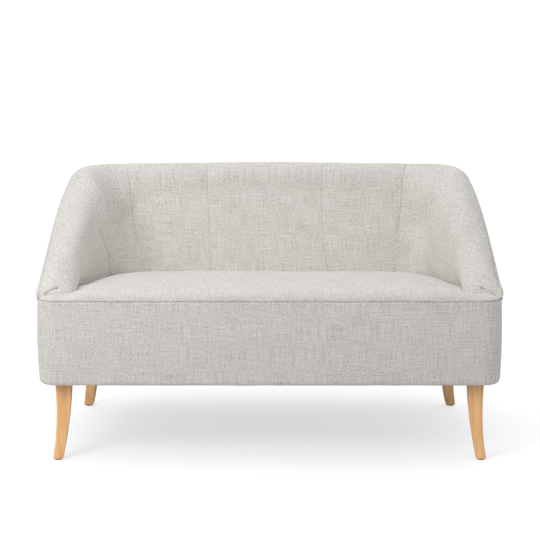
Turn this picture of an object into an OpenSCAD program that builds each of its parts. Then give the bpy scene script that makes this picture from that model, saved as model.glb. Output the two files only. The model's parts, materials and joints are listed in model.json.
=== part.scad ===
// Two-seat settee: a wrap-around upholstered shell on a deep fabric base with four sabre legs.
// x runs across the settee, y from front to back, z up; the floor is z = 0.
// Plans are drawn with y counted from the front of the settee, and from_front() centres them.

/* [Overall] */
// Width of the base at the front, at its bulge
base_width = 1270; // [1200:5:1400]
// Depth over everything
depth = 712; // [690:2:750]
// Height of the back's crest in the middle
height = 750; // [735:1:790]

/* [Base] */
// Height of the base's lower edge above the floor
skirt_z = 222; // [190:1:240]
// Height of the fabric base, from its lower edge to the seam below the seat
base_height = 232; // [226:1:240]
// How far the base's sides swell out at half height
base_bulge = 4.5; // [3:0.5:7]
// Radius of the base's front corners in plan
front_radius = 55; // [46:1:64]
// Height of the rounded lower edge
hem_height = 16; // [8:1:24]
// Thickness of the base's fabric and wadding at its seams
base_lining = 7.7; // [6:0.1:9]

/* [Shell] */
// Angle by which each side turns in towards the back
side_taper = 3.9; // [3:0.1:4.8]
// Radius of the rear corners in plan
corner_radius = 185; // [170:1:195]
// Distance of the arms' front tips from the front
nose_y = 38; // [32:1:42]
// How far the arms' front tips stand above the seat's crown
tip_rise = 10.8; // [4:0.1:14]
// Distance from the rear at which the arm's crest reaches the back's crest
crest_setback = 212; // [202:1:222]
// Length over which the arm's crest blends into the back's crest, each way
crest_blend = 150; // [120:1:165]
// How much lower the crest is at the corners than in the middle
crest_drop = 4; // [0:0.5:6]
// Width of the padded roll along the top
roll_width = 94; // [88:1:98]
// Height of the roll's rounding on the outside
roll_height = 45; // [41:1:47]
// How much further the roll reaches on the inside
roll_inside = 14; // [8:1:18]
// Height of the roll's rounding on the inside
roll_fall = 62; // [54:1:70]
// How much further the roll reaches in at the rear corners
corner_reach = 30; // [16:1:34]
// How much taller the roll's rounding is at the rear corners
corner_fall = 60; // [40:1:70]
// How far the arms' outsides swell out
arm_swell = 10; // [7:0.5:12]
// How far the back's outside swells out
back_swell = 3; // [1:0.5:4]
// How far the channels between the inside panels are drawn in
channel_draw = 4; // [2:0.5:6]
// Thickness of the cover's fabric
cloth = 2; // [1.5:0.1:2.4]

/* [Seat] */
// Width of each arm at the seat, beside its front tip
arm_width = 50; // [43:1:58]
// Angle by which the arms' insides turn in towards the back
inside_taper = 16.5; // [15:0.5:18]
// Radius of the seat's rear corners
seat_corner_radius = 115; // [100:1:125]
// Thickness of the back at the seat
back_width = 203; // [196:1:210]
// How far the seat's crown stands above the seam
crown_rise = 26; // [20:1:34]
// How far the seat's edge beside the arms lies below the seam
edge_drop = 7; // [4:1:10]
// How much lower the seat's edge is at the back
seat_edge_drop = 8; // [4:1:12]
// Reach of the seat's rounded front edge
bullnose = 28; // [22:1:34]

/* [Frame] */
// Thickness of the rails
rail_t = 22; // [19:1:25]
// How far the rails' tops, where the springs are clipped, lie below the seam
deck_drop = 54; // [51:1:59]
// Height of the rail that holds the springs' rear ends
spring_rail_h = 60; // [50:1:75]
// Height of the cross rail
cross_rail_h = 60; // [50:1:80]
// Thickness of the plywood arm panels
ply_t = 15; // [12:1:17]
// Thickness of the plywood ribs, shelves and plates
rib_t = 18; // [15:1:20]
// Thickness of the bent board round the back
board_t = 3; // [2:0.5:4]
// Foam thickness on the inside back
back_foam_t = 45; // [40:1:50]
// Depth of the roll's foam over the wooden edge
roll_foam = 50; // [48:1:56]
// Height of the back's top rail
top_rail_h = 45; // [38:1:55]
// Size of the corner blocks
block_size = 92; // [84:1:100]
// Height of the corner blocks
block_h = 45; // [38:1:52]
// Radius of the arm panels' dowels
dowel_r = 4; // [3:0.5:5]
// Length of the arm panels' dowels
dowel_l = 44; // [30:1:56]
// Width of the webbing straps
strap_w = 50; // [40:1:60]
// Thickness of the webbing straps
strap_t = 1.2; // [1:0.1:1.6]

/* [Springs] */
// Number of seat springs
spring_count = 8; // [6:1:9]
// Thickness of the spring wire
wire = 3.5; // [3:0.1:4]
// Width of a spring's loops
loop_width = 50; // [42:1:56]
// Nominal distance from one loop to the next
loop_pitch = 24; // [22:1:28]
// Sheet thickness of the spring clips
clip_t = 0.6; // [0.5:0.1:0.8]

/* [Legs] */
// Width of a leg at its top
leg_top_width = 46; // [42:1:50]
// Depth of a leg at its top
leg_top_depth = 70; // [62:1:74]
// Width of a leg at its sole
sole_width = 28; // [26:1:31]
// How far the sole turns outwards beyond the leg's top
leg_kick = 11; // [6:1:15]
// Distance of the front legs' outer faces from the base's widest line, at their tops
front_leg_inset = 46; // [43:1:53]
// Distance of the front legs' front faces from the front, at their tops
front_leg_y = 52; // [46:1:56]
// Distance of the back legs' outer faces from the base's widest line, at their tops
back_leg_inset = 71; // [69:1:79]
// Distance of the back legs' rear faces from the rear, at their tops
back_leg_setback = 100; // [96:1:108]
// Thickness of the glides
glide_t = 3; // [2:0.5:5]
// Radius of the glides
glide_r = 11; // [9:0.5:12]
// Radius of the leg bolts
bolt_r = 4; // [3:0.5:5]
// Length of a leg bolt inside the leg
bolt_l = 38; // [30:1:50]

/* [Hidden] */

// Clearance beside a soft piece or round a pin, overrun of a cut, and steps of a drawn circle
clear = 0.3;
overrun = 1;
round_fn = 64;

seam_z = skirt_z + base_height;
crown_z = seam_z + crown_rise;
seat_edge_z = seam_z - edge_drop;
deck_z = seam_z - deck_drop;
seat_depth = depth - back_width;
seat_half_width = base_width / 2 - arm_width;
front_leg_x = base_width / 2 - front_leg_inset;
back_leg_x = base_width / 2 - back_leg_inset;
back_leg_y = depth - back_leg_setback;
half_base = base_width / 2 - base_bulge;
front_line = base_bulge;
back_line = depth - base_bulge;
rail_face = base_lining + clear;
rail_back = rail_face + rail_t;
board_face = rail_face + clear;
board_back = board_face + board_t;
dust_t = 1;
frame_reveal = 3;
frame_z = skirt_z + frame_reveal;
dust_z = frame_z - clear - dust_t;
leg_top_z = dust_z - clear;

function ease(t) = let (c = min(1, max(0, t))) c * c * (3 - 2 * c);
function soft_ramp(x, b) = x < -b ? 0 : x > b ? x : (x + b) * (x + b) / (4 * b);
function blend(a, b, t) = a + (b - a) * t;
function ray(angle) = [cos(angle), sin(angle)];
quarter_angle = 90;
half_angle = 2 * quarter_angle;
front_angle = 3 * quarter_angle;
function flip(points) = [for (i = [len(points) - 1 : -1 : 0]) points[i]];
function mirrored(points) = [for (p = points) concat([-p.x], [for (k = [1 : len(p) - 1]) p[k]])];

// Left half of the shell's outer line in plan: u = 0..1 the side, 1..2 the rear corner, 2..3 the back
corner_y = back_line - corner_radius;
side_run = (corner_y + corner_radius * sin(side_taper) - nose_y) / cos(side_taper);
tangent_x = half_base - side_run * sin(side_taper);
corner_x = tangent_x - corner_radius * cos(side_taper);
function outer_angle(u) = (half_angle - side_taper) - min(1, max(0, u - 1)) * (quarter_angle - side_taper);
function outer(u) =
    u < 1 ? [-half_base + side_run * u * sin(side_taper), nose_y + side_run * u * cos(side_taper)]
    : u < 2 ? [-corner_x, corner_y] + corner_radius * ray(outer_angle(u))
    : [-corner_x * (3 - u), back_line];
function inward(u) = -ray(outer_angle(u));

// Left half of the line along which the shell's inside meets the seat, on the same u
tip_width = 12;
nose_start_y = 105;
nose_end_y = 190;
inside_start_y = nose_y + tip_width;
inside_corner_y = seat_depth - seat_corner_radius;
inside_side_y = inside_corner_y + seat_corner_radius * sin(inside_taper);
inside_corner_x = seat_half_width - (inside_side_y - inside_start_y) * tan(inside_taper)
    - seat_corner_radius * cos(inside_taper);
function inside_x(y) = blend(
    half_base - tip_width - (y - nose_y) * tan(side_taper),
    seat_half_width - (y - inside_start_y) * tan(inside_taper),
    ease((y - nose_start_y) / (nose_end_y - nose_start_y)));
function inner(u) =
    u < 1 ? let (y = blend(inside_start_y, inside_side_y, u)) [-inside_x(y), y]
    : u < 2 ? [-inside_corner_x, inside_corner_y]
        + seat_corner_radius * ray(blend(half_angle - inside_taper, quarter_angle, u - 1))
    : [-inside_corner_x * (3 - u), seat_depth];

// The point of the shell at an inset, measured square to the outer line, and a height
function room(u) = (inner(u) - outer(u)) * inward(u);
function at(u, inset, z) = let (p = outer(u) + (inner(u) - outer(u)) * inset / room(u)) [p.x, p.y, z];

// Crest, roll and swell of the shell along u
nose_blunt = 30;
nose_tip_rise = 9;
roll_start_y = 80;
roll_full_y = 200;
roll_rise_share = 0.8;
swell_run = 50;
swell_start_share = 0.45;
swell_rise = 25;
crest_reach = depth - crest_setback;
crest_slope = (height - crown_z - tip_rise) / (crest_reach - nose_y - nose_blunt);
function crest_line(y) = height - crest_slope * soft_ramp(crest_reach - y, crest_blend);
function blunt_share(y) = let (b = min(1, max(0, (y - nose_y) / nose_blunt))) sqrt(1 - (1 - b) * (1 - b));
function crest(u) = let (y = outer(u).y)
    blend(seam_z + nose_tip_rise, crest_line(y), blunt_share(y))
    - crest_drop * (1 - ease(u - 2)) * ease(u - 1);
function full_swell(u) =
    blend(arm_swell, back_swell, ease((u - swell_start_share) / (1 - swell_start_share)));
function swell(u) = full_swell(u) * ease((outer(u).y - nose_y) / swell_run);
function roll_edge(u) = blend(tip_width, roll_width - full_swell(u),
    ease((outer(u).y - roll_start_y) / (roll_full_y - roll_start_y)));
function half_roll(u) = (roll_edge(u) + swell(u)) / 2;
function roll_rise(u) = min(roll_height, (crest(u) - seam_z) * roll_rise_share);
bend_share = 0.55;
bend_in_share = 0.65;
bend_end_share = 1.55;
bend_out_share = 0.7;
inside_rise_share = 0.65;
inside_start_roll_y = 75;
inside_full_roll_y = 190;
function in_corner(u) =
    ease((u - bend_share) / bend_in_share) * (1 - ease((u - bend_end_share) / bend_out_share));
function inside_edge(u) = blend(tip_width,
    roll_width - full_swell(u) + roll_inside + corner_reach * in_corner(u),
    ease((outer(u).y - inside_start_roll_y) / (inside_full_roll_y - inside_start_roll_y)));
function inside_fall(u) =
    min(roll_fall + corner_fall * in_corner(u), (crest(u) - edge_z(inner(u).y)) * inside_rise_share);
function edge_z(y) = seat_edge_z - seat_edge_drop * ease((y - nose_end_y) / (seat_depth - nose_end_y));

// Stack of springs, clips and cloth on the rails, and the height down to which the covers are tucked
spring_z = deck_z + clip_t + clear;
clip_top_z = spring_z + wire + clear + clip_t;
deck_cloth_t = 1;
tuck_z = clip_top_z + clear + deck_cloth_t + clear;

// Inset and height of the roll at an angle round it, and of the face below it, both d under the surface;
// the roll is a small ellipse outside the crest's line and a larger one inside it
face_bulge = 6;
function face_swell(u) = face_bulge * ease((outer(u).y - nose_y) / swell_run);
function roll_point(u, angle, d) = let (
    top = half_roll(u) - swell(u),
    h = angle > quarter_angle ? inside_edge(u) - top : half_roll(u),
    v = angle > quarter_angle ? inside_fall(u) : roll_rise(u))
    [top - (h - d) * cos(angle), crest(u) - v + (v - d) * sin(angle)];
function face_point(u, t, d) = [
    blend(inside_edge(u), room(u), t) + face_swell(u) * 4 * t * (1 - t) - d,
    blend(crest(u) - inside_fall(u), edge_z(inner(u).y), t)];

// Sections of the inside: over the roll, down the face and into the tuck beside the seat
seam_angle = 30;
roll_steps = 6;
face_steps = 5;
function inside_curve(u, d, first) = concat(
    [for (k = [first : roll_steps]) roll_point(u, blend(seam_angle, half_angle, k / roll_steps), d)],
    [for (k = [1 : face_steps]) face_point(u, k / face_steps, d)],
    [[room(u) - d, tuck_z]]);

// Seams between the seven inside panels, and how far the covers are drawn in there
arm_seam_share = 1.2;
corner_seam_share = 1.93;
back_seam_share = 2.54;
PANELS = [
    [-arm_seam_share, arm_seam_share], [arm_seam_share, corner_seam_share],
    [corner_seam_share, back_seam_share], [back_seam_share, 6 - back_seam_share]];
function panel_at(u) = u < arm_seam_share ? 0 : u < corner_seam_share ? 1 : u < back_seam_share ? 2 : 3;
function draw_in(u) = let (ends = PANELS[panel_at(u)])
    channel_draw * pow(abs(2 * (u - ends[0]) / (ends[1] - ends[0]) - 1), 6);
function rows_between(from, to, count) =
    [for (i = [0 : count]) blend(from, to, (1 - cos(half_angle * i / count)) / 2)];
arm_rows = rows_between(0, arm_seam_share, 12);
corner_rows = rows_between(arm_seam_share, corner_seam_share, 8);
back_rows = rows_between(corner_seam_share, back_seam_share, 6);
centre_rows = rows_between(back_seam_share, 6 - back_seam_share, 8);

// The wood under the foam: inset of its inner face and height of its top
nose_row_count = 4;
arm_core_inset = rail_face + ply_t;
function ply_top(u) = crest(u) - roll_foam;
corner_core_z = ply_top(1) - clear;
back_core_z = height - crest_drop - roll_foam;
function lining_point(u, k, top_z) = k == 0 ? [face_point(u, 0, back_foam_t).x, top_z]
    : face_point(u, k / face_steps, back_foam_t);

module from_front() translate([0, -depth / 2, 0]) children();

module along_side(side) mirror([side > 0 ? 1 : 0, 0, 0])
    from_front() translate([-half_base, nose_y, 0]) rotate([0, 0, -side_taper]) children();

module on_side(side) mirror([side > 0 ? 1 : 0, 0, 0]) from_front() children();

// A closed sheet between two grids of points with the same rows and columns
module sheet(front, back) {
    rows = len(front);
    cols = len(front[0]);
    function id(i, j, layer) = (layer * rows + i) * cols + j;
    function quad(a, b, c, d) = [[a, b, c], [a, c, d]];
    quads = concat(
        [for (i = [0 : rows - 2], j = [0 : cols - 2])
            [id(i, j, 0), id(i + 1, j, 0), id(i + 1, j + 1, 0), id(i, j + 1, 0)]],
        [for (i = [0 : rows - 2], j = [0 : cols - 2])
            [id(i, j, 1), id(i, j + 1, 1), id(i + 1, j + 1, 1), id(i + 1, j, 1)]],
        [for (i = [0 : rows - 2]) [id(i, 0, 0), id(i, 0, 1), id(i + 1, 0, 1), id(i + 1, 0, 0)]],
        [for (i = [0 : rows - 2])
            [id(i, cols - 1, 1), id(i, cols - 1, 0), id(i + 1, cols - 1, 0), id(i + 1, cols - 1, 1)]],
        [for (j = [0 : cols - 2]) [id(0, j, 1), id(0, j, 0), id(0, j + 1, 0), id(0, j + 1, 1)]],
        [for (j = [0 : cols - 2])
            [id(rows - 1, j, 0), id(rows - 1, j, 1), id(rows - 1, j + 1, 1), id(rows - 1, j + 1, 0)]]);
    polyhedron(
        concat([for (r = front, p = r) p], [for (r = back, p = r) p]),
        [for (q = quads, f = quad(q[0], q[1], q[2], q[3])) f]);
}

// A solid lofted upwards through closed loops, closed by a point at each end
module loft(loops, start, end) {
    n = len(loops[0]);
    last = len(loops) - 1;
    polyhedron(
        concat([for (l = loops, p = l) p], [start, end]),
        concat(
            [for (i = [0 : last - 1], j = [0 : n - 1])
                [i * n + j, (i + 1) * n + (j + 1) % n, i * n + (j + 1) % n]],
            [for (i = [0 : last - 1], j = [0 : n - 1])
                [i * n + j, (i + 1) * n + j, (i + 1) * n + (j + 1) % n]],
            [for (j = [0 : n - 1]) [j, (j + 1) % n, (last + 1) * n]],
            [for (j = [0 : n - 1]) [last * n + (j + 1) % n, last * n + j, (last + 1) * n + 1]]));
}

// Left half of the base's outline: w = 0..1 the front, 1..2 its corner, 2..3 the side, 3..4 the rear
// corner, 4..5 the back; each entry is a point and the outward direction there
front_corner_y = front_line + front_radius;
front_corner_x = half_base - (front_radius + (front_corner_y - nose_y) * sin(side_taper)) / cos(side_taper);
front_corner = [-front_corner_x, front_corner_y];
rear_corner = [-corner_x, corner_y];
function base_line(w) =
    w < 1 ? [[-front_corner_x * w, front_line], ray(front_angle)]
    : w < 2 ? let (n = ray(front_angle - (w - 1) * (quarter_angle + side_taper)))
        [front_corner + front_radius * n, n]
    : w < 3 ? let (n = ray(half_angle - side_taper))
        [blend(front_corner + front_radius * n, rear_corner + corner_radius * n, w - 2), n]
    : w < 4 ? let (n = ray(half_angle - side_taper - (w - 3) * (quarter_angle - side_taper)))
        [rear_corner + corner_radius * n, n]
    : [[-corner_x * (5 - w), back_line], ray(quarter_angle)];
front_arc_steps = 8;
rear_arc_steps = 12;
front_arc = [for (k = [0 : front_arc_steps]) k / front_arc_steps];
rear_arc = [for (k = [0 : rear_arc_steps]) k / rear_arc_steps];
module base_plan(inset) {
    half = [for (w = concat([0], [for (k = front_arc) 1 + k], [for (k = rear_arc) 3 + k], [5]))
        let (l = base_line(w)) l[0] - l[1] * inset];
    polygon(concat(half, flip(mirrored(half))));
}
module zone(x0, y0, x1, y1) translate([x0, y0]) square([x1 - x0, y1 - y0]);
module ring(from, to) difference() {
    base_plan(from);
    base_plan(to);
}

// Frame

front_rail_y = front_line + rail_back;
back_rail_y = back_line - rail_back;
rail_h = deck_z - frame_z;
spring_rail_y = seat_depth + back_foam_t - rail_t;
spring_rail_back = spring_rail_y + rail_t;

module front_rail() color("burlywood") from_front() translate([0, 0, frame_z]) linear_extrude(rail_h)
    intersection() {
        base_plan(rail_face);
        zone(-half_base, 0, half_base, front_rail_y);
    }

module back_rail() color("burlywood") from_front() translate([0, 0, frame_z]) linear_extrude(rail_h)
    zone(-corner_x, back_rail_y, corner_x, back_line - rail_face);

module side_rail(side) color("burlywood") difference() {
    on_side(side) translate([0, 0, frame_z]) linear_extrude(rail_h) intersection() {
        ring(rail_face, rail_back);
        polygon([
            [-half_base - overrun, front_rail_y], [0, front_rail_y], [0, corner_y], rear_corner,
            rear_corner + (corner_radius + overrun) * ray(half_angle - side_taper)]);
    }
    dowel_holes(side);
}

module corner_rail(side) color("tan") on_side(side) translate([0, 0, frame_z]) linear_extrude(rail_h)
    intersection() {
        ring(rail_face, rail_back);
        polygon([
            rear_corner, rear_corner + (corner_radius + overrun) * ray(half_angle - side_taper),
            [-half_base, back_line + overrun], [-corner_x, back_line + overrun]]);
    }

module cross_rail() color("burlywood") from_front() translate([0, 0, frame_z]) linear_extrude(cross_rail_h)
    zone(-rail_t / 2, front_rail_y, rail_t / 2, back_rail_y);

module spring_rail() color("burlywood") from_front()
    translate([0, 0, deck_z - spring_rail_h]) linear_extrude(spring_rail_h) intersection() {
        base_plan(rail_back);
        zone(-half_base, spring_rail_y, half_base, spring_rail_back);
    }

// Middle of each leg's top in plan, left side
LEG_TOPS = [
    [-front_leg_x + leg_top_width / 2, front_leg_y + leg_top_depth / 2],
    [-back_leg_x + leg_top_width / 2, back_leg_y - leg_top_depth / 2]];

module each_bolt() from_front() for (p = LEG_TOPS, s = [-1, 1]) translate([-s * p.x, p.y, 0]) children();

module corner_blocks() color("peru") difference() {
    from_front() translate([0, 0, frame_z]) linear_extrude(block_h) intersection() {
        base_plan(rail_back);
        union() for (s = [-1, 1]) mirror([s > 0 ? 1 : 0, 0]) {
            zone(-half_base, front_rail_y, -half_base + rail_back + block_size, front_rail_y + block_size);
            zone(-half_base, back_leg_y - block_size, -back_leg_x + block_size, back_line);
        }
    }
    each_bolt() bolt_hole(frame_z - overrun, block_h + 2 * overrun);
}

module bolt_hole(z, length) translate([0, 0, z]) cylinder(r = bolt_r + clear, h = length, $fn = round_fn);

module corner_shelf(side) color("tan") on_side(side)
    translate([0, 0, deck_z - rib_t]) linear_extrude(rib_t) intersection() {
        base_plan(rail_back);
        zone(-half_base, spring_rail_back, -corner_x, back_line);
    }

// Arm panels: plywood on the side rails, cut to the slope of the arm
module arm_panel(side) color("wheat") difference() {
    along_side(side) translate([rail_face, 0, 0]) rotate([90, 0, 90]) linear_extrude(ply_t)
        polygon(concat(
            [[side_run, deck_z], [side_run * arm_rows[nose_row_count], deck_z]],
            [for (k = [nose_row_count : len(arm_rows) - 1]) if (arm_rows[k] < 1)
                [side_run * arm_rows[k], ply_top(arm_rows[k])]],
            [[side_run, ply_top(1)]]));
    dowel_holes(side);
}

dowel_shares = [0.36, 0.62, 0.88];
module each_dowel(side) along_side(side) for (s = dowel_shares)
    translate([rail_face + ply_t / 2, side_run * s, deck_z - dowel_l / 2]) children();
module dowel_holes(side) each_dowel(side) translate([0, 0, -clear])
    cylinder(r = dowel_r + clear, h = dowel_l + 2 * clear, $fn = round_fn);
module arm_dowels() color("tan") for (side = [-1, 1])
    each_dowel(side) cylinder(r = dowel_r, h = dowel_l, $fn = round_fn);

// Back: plywood ribs between the spring rail, the back rail and the top rail
strap_inset = clear + strap_t + clear;
function foam_back(u, k) = let (p = lining_point(u, k, back_core_z + clear)) [back_line - p.x, p.y];
function rib_edge(u, d) = [for (k = [1 : face_steps]) foam_back(u, k) + [d, 0]];
rib_x_shares = [0.36, 0.9];
module rib(share) {
    u = 3 - share;
    top_z = back_core_z - top_rail_h;
    edge = rib_edge(u, strap_inset);
    crown = foam_back(u, 0) + [strap_inset, 0];
    pair = edge[0].y < top_z ? [edge[0], crown] : [edge[1], edge[0]];
    top_front = blend(pair[0], pair[1], (top_z - pair[0].y) / (pair[1].y - pair[0].y));
    translate([-corner_x * share - rib_t / 2, 0, 0]) rotate([90, 0, 90]) linear_extrude(rib_t)
        polygon(concat(
            [[spring_rail_back, deck_z - spring_rail_h], [back_rail_y, deck_z - spring_rail_h],
             [back_rail_y, deck_z], [back_line - board_back, deck_z], [back_line - board_back, top_z],
             top_front],
            [for (p = edge) if (p.y < top_z) p],
            [[edge[face_steps - 1].x, deck_z - strap_tail], [spring_rail_back, deck_z - strap_tail]]));
}
strap_tail = 24;
module back_ribs() color("wheat") from_front() for (share = rib_x_shares, s = [-1, 1])
    mirror([s > 0 ? 1 : 0, 0, 0]) rib(share);

module top_rail() color("burlywood") from_front() translate([0, 0, back_core_z - top_rail_h])
    linear_extrude(top_rail_h) zone(-corner_x, top_rail_front, corner_x, back_line - board_back);

top_rail_front = back_line - face_point(2.5, 0, back_foam_t).x + strap_inset;

// Curved plate that joins the arm panel's end to the top rail's end
plate_ease = 2;
bend_rows = concat(
    [1], [for (u = arm_rows) if (u > 1) u], [for (u = corner_rows) if (u > arm_seam_share) u], [2]);
module corner_plate(side) color("tan") on_side(side)
    translate([0, 0, corner_core_z - rib_t]) linear_extrude(rib_t) polygon(concat(
        [for (u = bend_rows) outer(u) + inward(u) * board_back],
        flip([for (u = bend_rows) plate_edge(u)])));
function plate_edge(u) = u <= arm_seam_share ? outer(u) + inward(u) * (arm_core_inset - plate_ease)
    : u >= corner_seam_share ? outer(u) + inward(u) * (back_line - top_rail_front)
    : let (p = at(u, face_point(u, 0, back_foam_t + clear).x, 0)) [p.x, p.y];

// Bent board round the corners and the back, under the outside covers
module corner_board(side) color("sienna") on_side(side)
    translate([0, 0, deck_z]) linear_extrude(corner_core_z - deck_z) polygon(concat(
        [for (u = bend_rows) outer(u) + inward(u) * board_face],
        flip([for (u = bend_rows) outer(u) + inward(u) * board_back])));

module back_board() color("sienna") from_front() translate([0, 0, deck_z])
    linear_extrude(back_core_z - deck_z)
        zone(-corner_x, back_line - board_back, corner_x, back_line - board_face);

// Webbing straps under the back's foam
strap_x_shares = [0, 0.18, 0.54, 0.72];
module strap(share) {
    u = 3 - share;
    line = concat(
        [foam_back(u, 0)], rib_edge(u, 0), [[foam_back(u, face_steps).x, deck_z - strap_tail + clear]]);
    translate([-corner_x * share - strap_w / 2, 0, 0]) rotate([90, 0, 90]) linear_extrude(strap_w)
        polygon(concat([for (p = line) p + [clear, 0]], flip([for (p = line) p + [clear + strap_t, 0]])));
}
module back_webbing() color("dimgray") from_front() {
    strap(strap_x_shares[0]);
    for (k = [1 : len(strap_x_shares) - 1], s = [-1, 1])
        mirror([s > 0 ? 1 : 0, 0, 0]) strap(strap_x_shares[k]);
}

// Seat springs: zigzag wire from the front rail to the spring rail
spring_front_y = front_rail_y - rail_t / 2;
spring_back_y = spring_rail_y + rail_t / 2;
loops = floor((spring_back_y - spring_front_y) / loop_pitch);
pitch = (spring_back_y - spring_front_y) / loops;
spring_reach_share = 0.6;
spring_span = 2 * (inside_corner_x + seat_corner_radius * spring_reach_share);
function spring_x(i) = spring_span * (i / (spring_count - 1) - 0.5);
turn_steps = 5;
function spring_side(i) = i % 2 == 0 ? 1 : -1;
module spring_plan() {
    bar = (loop_width - pitch) / 2;
    turns = [for (i = [0 : loops - 1], k = [0 : turn_steps])
        let (n = ray(half_angle * k / turn_steps - quarter_angle), s = spring_side(i))
        [[s * (bar + n.x * pitch / 2), (i + 0.5) * pitch + n.y * pitch / 2], [-n.x, -s * n.y]]];
    path = concat([[[-bar, 0], [0, 1]]], turns,
        [[[spring_side(loops) * bar, loops * pitch], [0, spring_side(loops)]]]);
    polygon(concat(
        [for (p = path) p[0] + p[1] * wire / 2], flip([for (p = path) p[0] - p[1] * wire / 2])));
}
module seat_springs() color("silver") from_front() for (i = [0 : spring_count - 1])
    translate([spring_x(i), spring_front_y, spring_z]) linear_extrude(wire) spring_plan();

clip_w = 18;
clip_reach = 6;
module clip() rotate([90, 0, 90]) linear_extrude(clip_w, center = true) difference() {
    translate([-clip_reach, deck_z]) square([2 * clip_reach, clip_top_z - deck_z]);
    translate([-clip_reach - overrun, deck_z + clip_t])
        square([2 * clip_reach + overrun - clip_t, clip_top_z - deck_z - 2 * clip_t]);
}
module spring_clips() color("gray") from_front() for (i = [0 : spring_count - 1]) {
    translate([spring_x(i), spring_front_y, 0]) mirror([0, 1, 0]) clip();
    translate([spring_x(i), spring_back_y, 0]) clip();
}

tie_r = 1;
tie_shares = [0.36, 0.7];
module spring_ties() color("silver") from_front() for (share = tie_shares)
    let (y = blend(spring_front_y, spring_back_y, share),
         half = half_base - rail_back - (y - nose_y) * tan(side_taper) - 2 * clear)
    translate([-half, y, spring_z - clear - tie_r]) rotate([0, 90, 0])
        cylinder(r = tie_r, h = 2 * half, $fn = round_fn);

module deck_cloth() color("dimgray") from_front()
    translate([0, 0, clip_top_z + clear]) linear_extrude(deck_cloth_t)
    intersection() {
        base_plan(rail_back);
        zone(-half_base, front_line + rail_back / 2, half_base, spring_back_y);
    }

// Seat: outline of the cushion, left half from the front's middle to the rear's middle, drawn in by one
// inset along the base's front and by another along the shell's inside
front_shares = [0, 0.25, 0.5, 0.75];
front_steps = 5;
front_turn_angle = 58;
seat_start_share = 0.02;
seat_end_share = 2.8;
seat_rows = concat([seat_start_share], [for (u = arm_rows) if (u > seat_start_share) u],
    [for (u = corner_rows) if (u > arm_seam_share) u], [for (u = back_rows) if (u > corner_seam_share) u],
    [seat_end_share]);
function seat_half(front_inset, inset) = concat(
    [for (x = front_shares) [-front_corner_x * x, front_line + clear + front_inset]],
    [for (k = [0 : front_steps]) front_corner
        + (front_radius - clear - front_inset) * ray(front_angle - front_turn_angle * k / front_steps)],
    [[inner(0).x + inset, lip_end_y]],
    [for (u = seat_rows) shifted(u, inset + clear)]);
near_share = 0.005;
function shifted(u, d) =
    let (q = inner(u + near_share) - inner(u - near_share)) inner(u) + d * [q.y, -q.x] / norm(q);
function closed(half) = concat(mirrored(half), flip([for (k = [1 : len(half) - 1]) half[k]]));

// Height of the seat's top: over the front it rises by a quarter circle, beside the arms by a power of the
// share of the outline, steeper beside their tips
function long_profile(y) = crown_z - (crown_z - seat_edge_z + seat_edge_drop)
    * pow(max(0, (y - crown_y) / (seat_depth - crown_y)), 2.2);
crown_y = 150;
function nose_share(y) = let (b = min(1, max(0, (y - front_line) / bullnose))) sqrt(1 - (1 - b) * (1 - b));
lip_z = seam_z + cloth + 2 * clear;
lip_end_y = inside_start_y - tip_width / 3;
rise_power_shares = [3, 8];
function frontness(y) = 1 - ease((y - front_line - clear) / (lip_end_y - front_line - clear));
function rise_share(y, s) =
    let (power = blend(rise_power_shares[0], rise_power_shares[1], ease((y - inside_start_y) / nose_end_y)))
    blend(1 - pow(s, power), 1, frontness(y));
function seat_top(y, edge_y, s, lip) = let (edge = y > nose_end_y ? edge_z(y)
        : blend(lip, seat_edge_z, ease((y - lip_end_y) / tip_width)))
    blend(edge, blend(edge, long_profile(y), nose_share(y)), rise_share(edge_y, s));

seat_centre = [0, 250];
seat_row_shares = [1, 0.985, 0.95, 0.88, 0.74, 0.45];
function seat_loop(front_inset, inset, s, drop, lip) = [for (p = closed(seat_half(front_inset, inset)))
    let (q = seat_centre + (p - seat_centre) * s) [q.x, q.y, seat_top(q.y, p.y, s, lip) - drop]];
function seat_ring(front_inset, inset, z_front, z_side) = [for (p = closed(seat_half(front_inset, inset)))
    [p.x, p.y, p.y < inside_start_y ? z_front : z_side]];
seat_mid_z = long_profile(seat_centre.y);

module seat_cover() color("gainsboro") from_front() {
    under = [for (s = flip(seat_row_shares)) seat_loop(cloth, cloth, s, cloth, lip_z)];
    over = [for (s = seat_row_shares) seat_loop(0, 0, s, 0, lip_z)];
    hem = [for (d = [cloth, 0]) seat_ring(d, d, seam_z + clear, tuck_z)];
    loft(concat(under, hem, over), [0, seat_centre.y, seat_mid_z - cloth], [0, seat_centre.y, seat_mid_z]);
}

module seat_foam() color("khaki") from_front() {
    d = cloth + 4 * clear;
    front = base_lining + clear;
    over = [for (s = seat_row_shares) seat_loop(front, d, s, d, seat_edge_z)];
    loft(concat([seat_ring(front, d, tuck_z, tuck_z)], over),
        [0, seat_centre.y, tuck_z], [0, seat_centre.y, seat_mid_z - d]);
}

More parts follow.
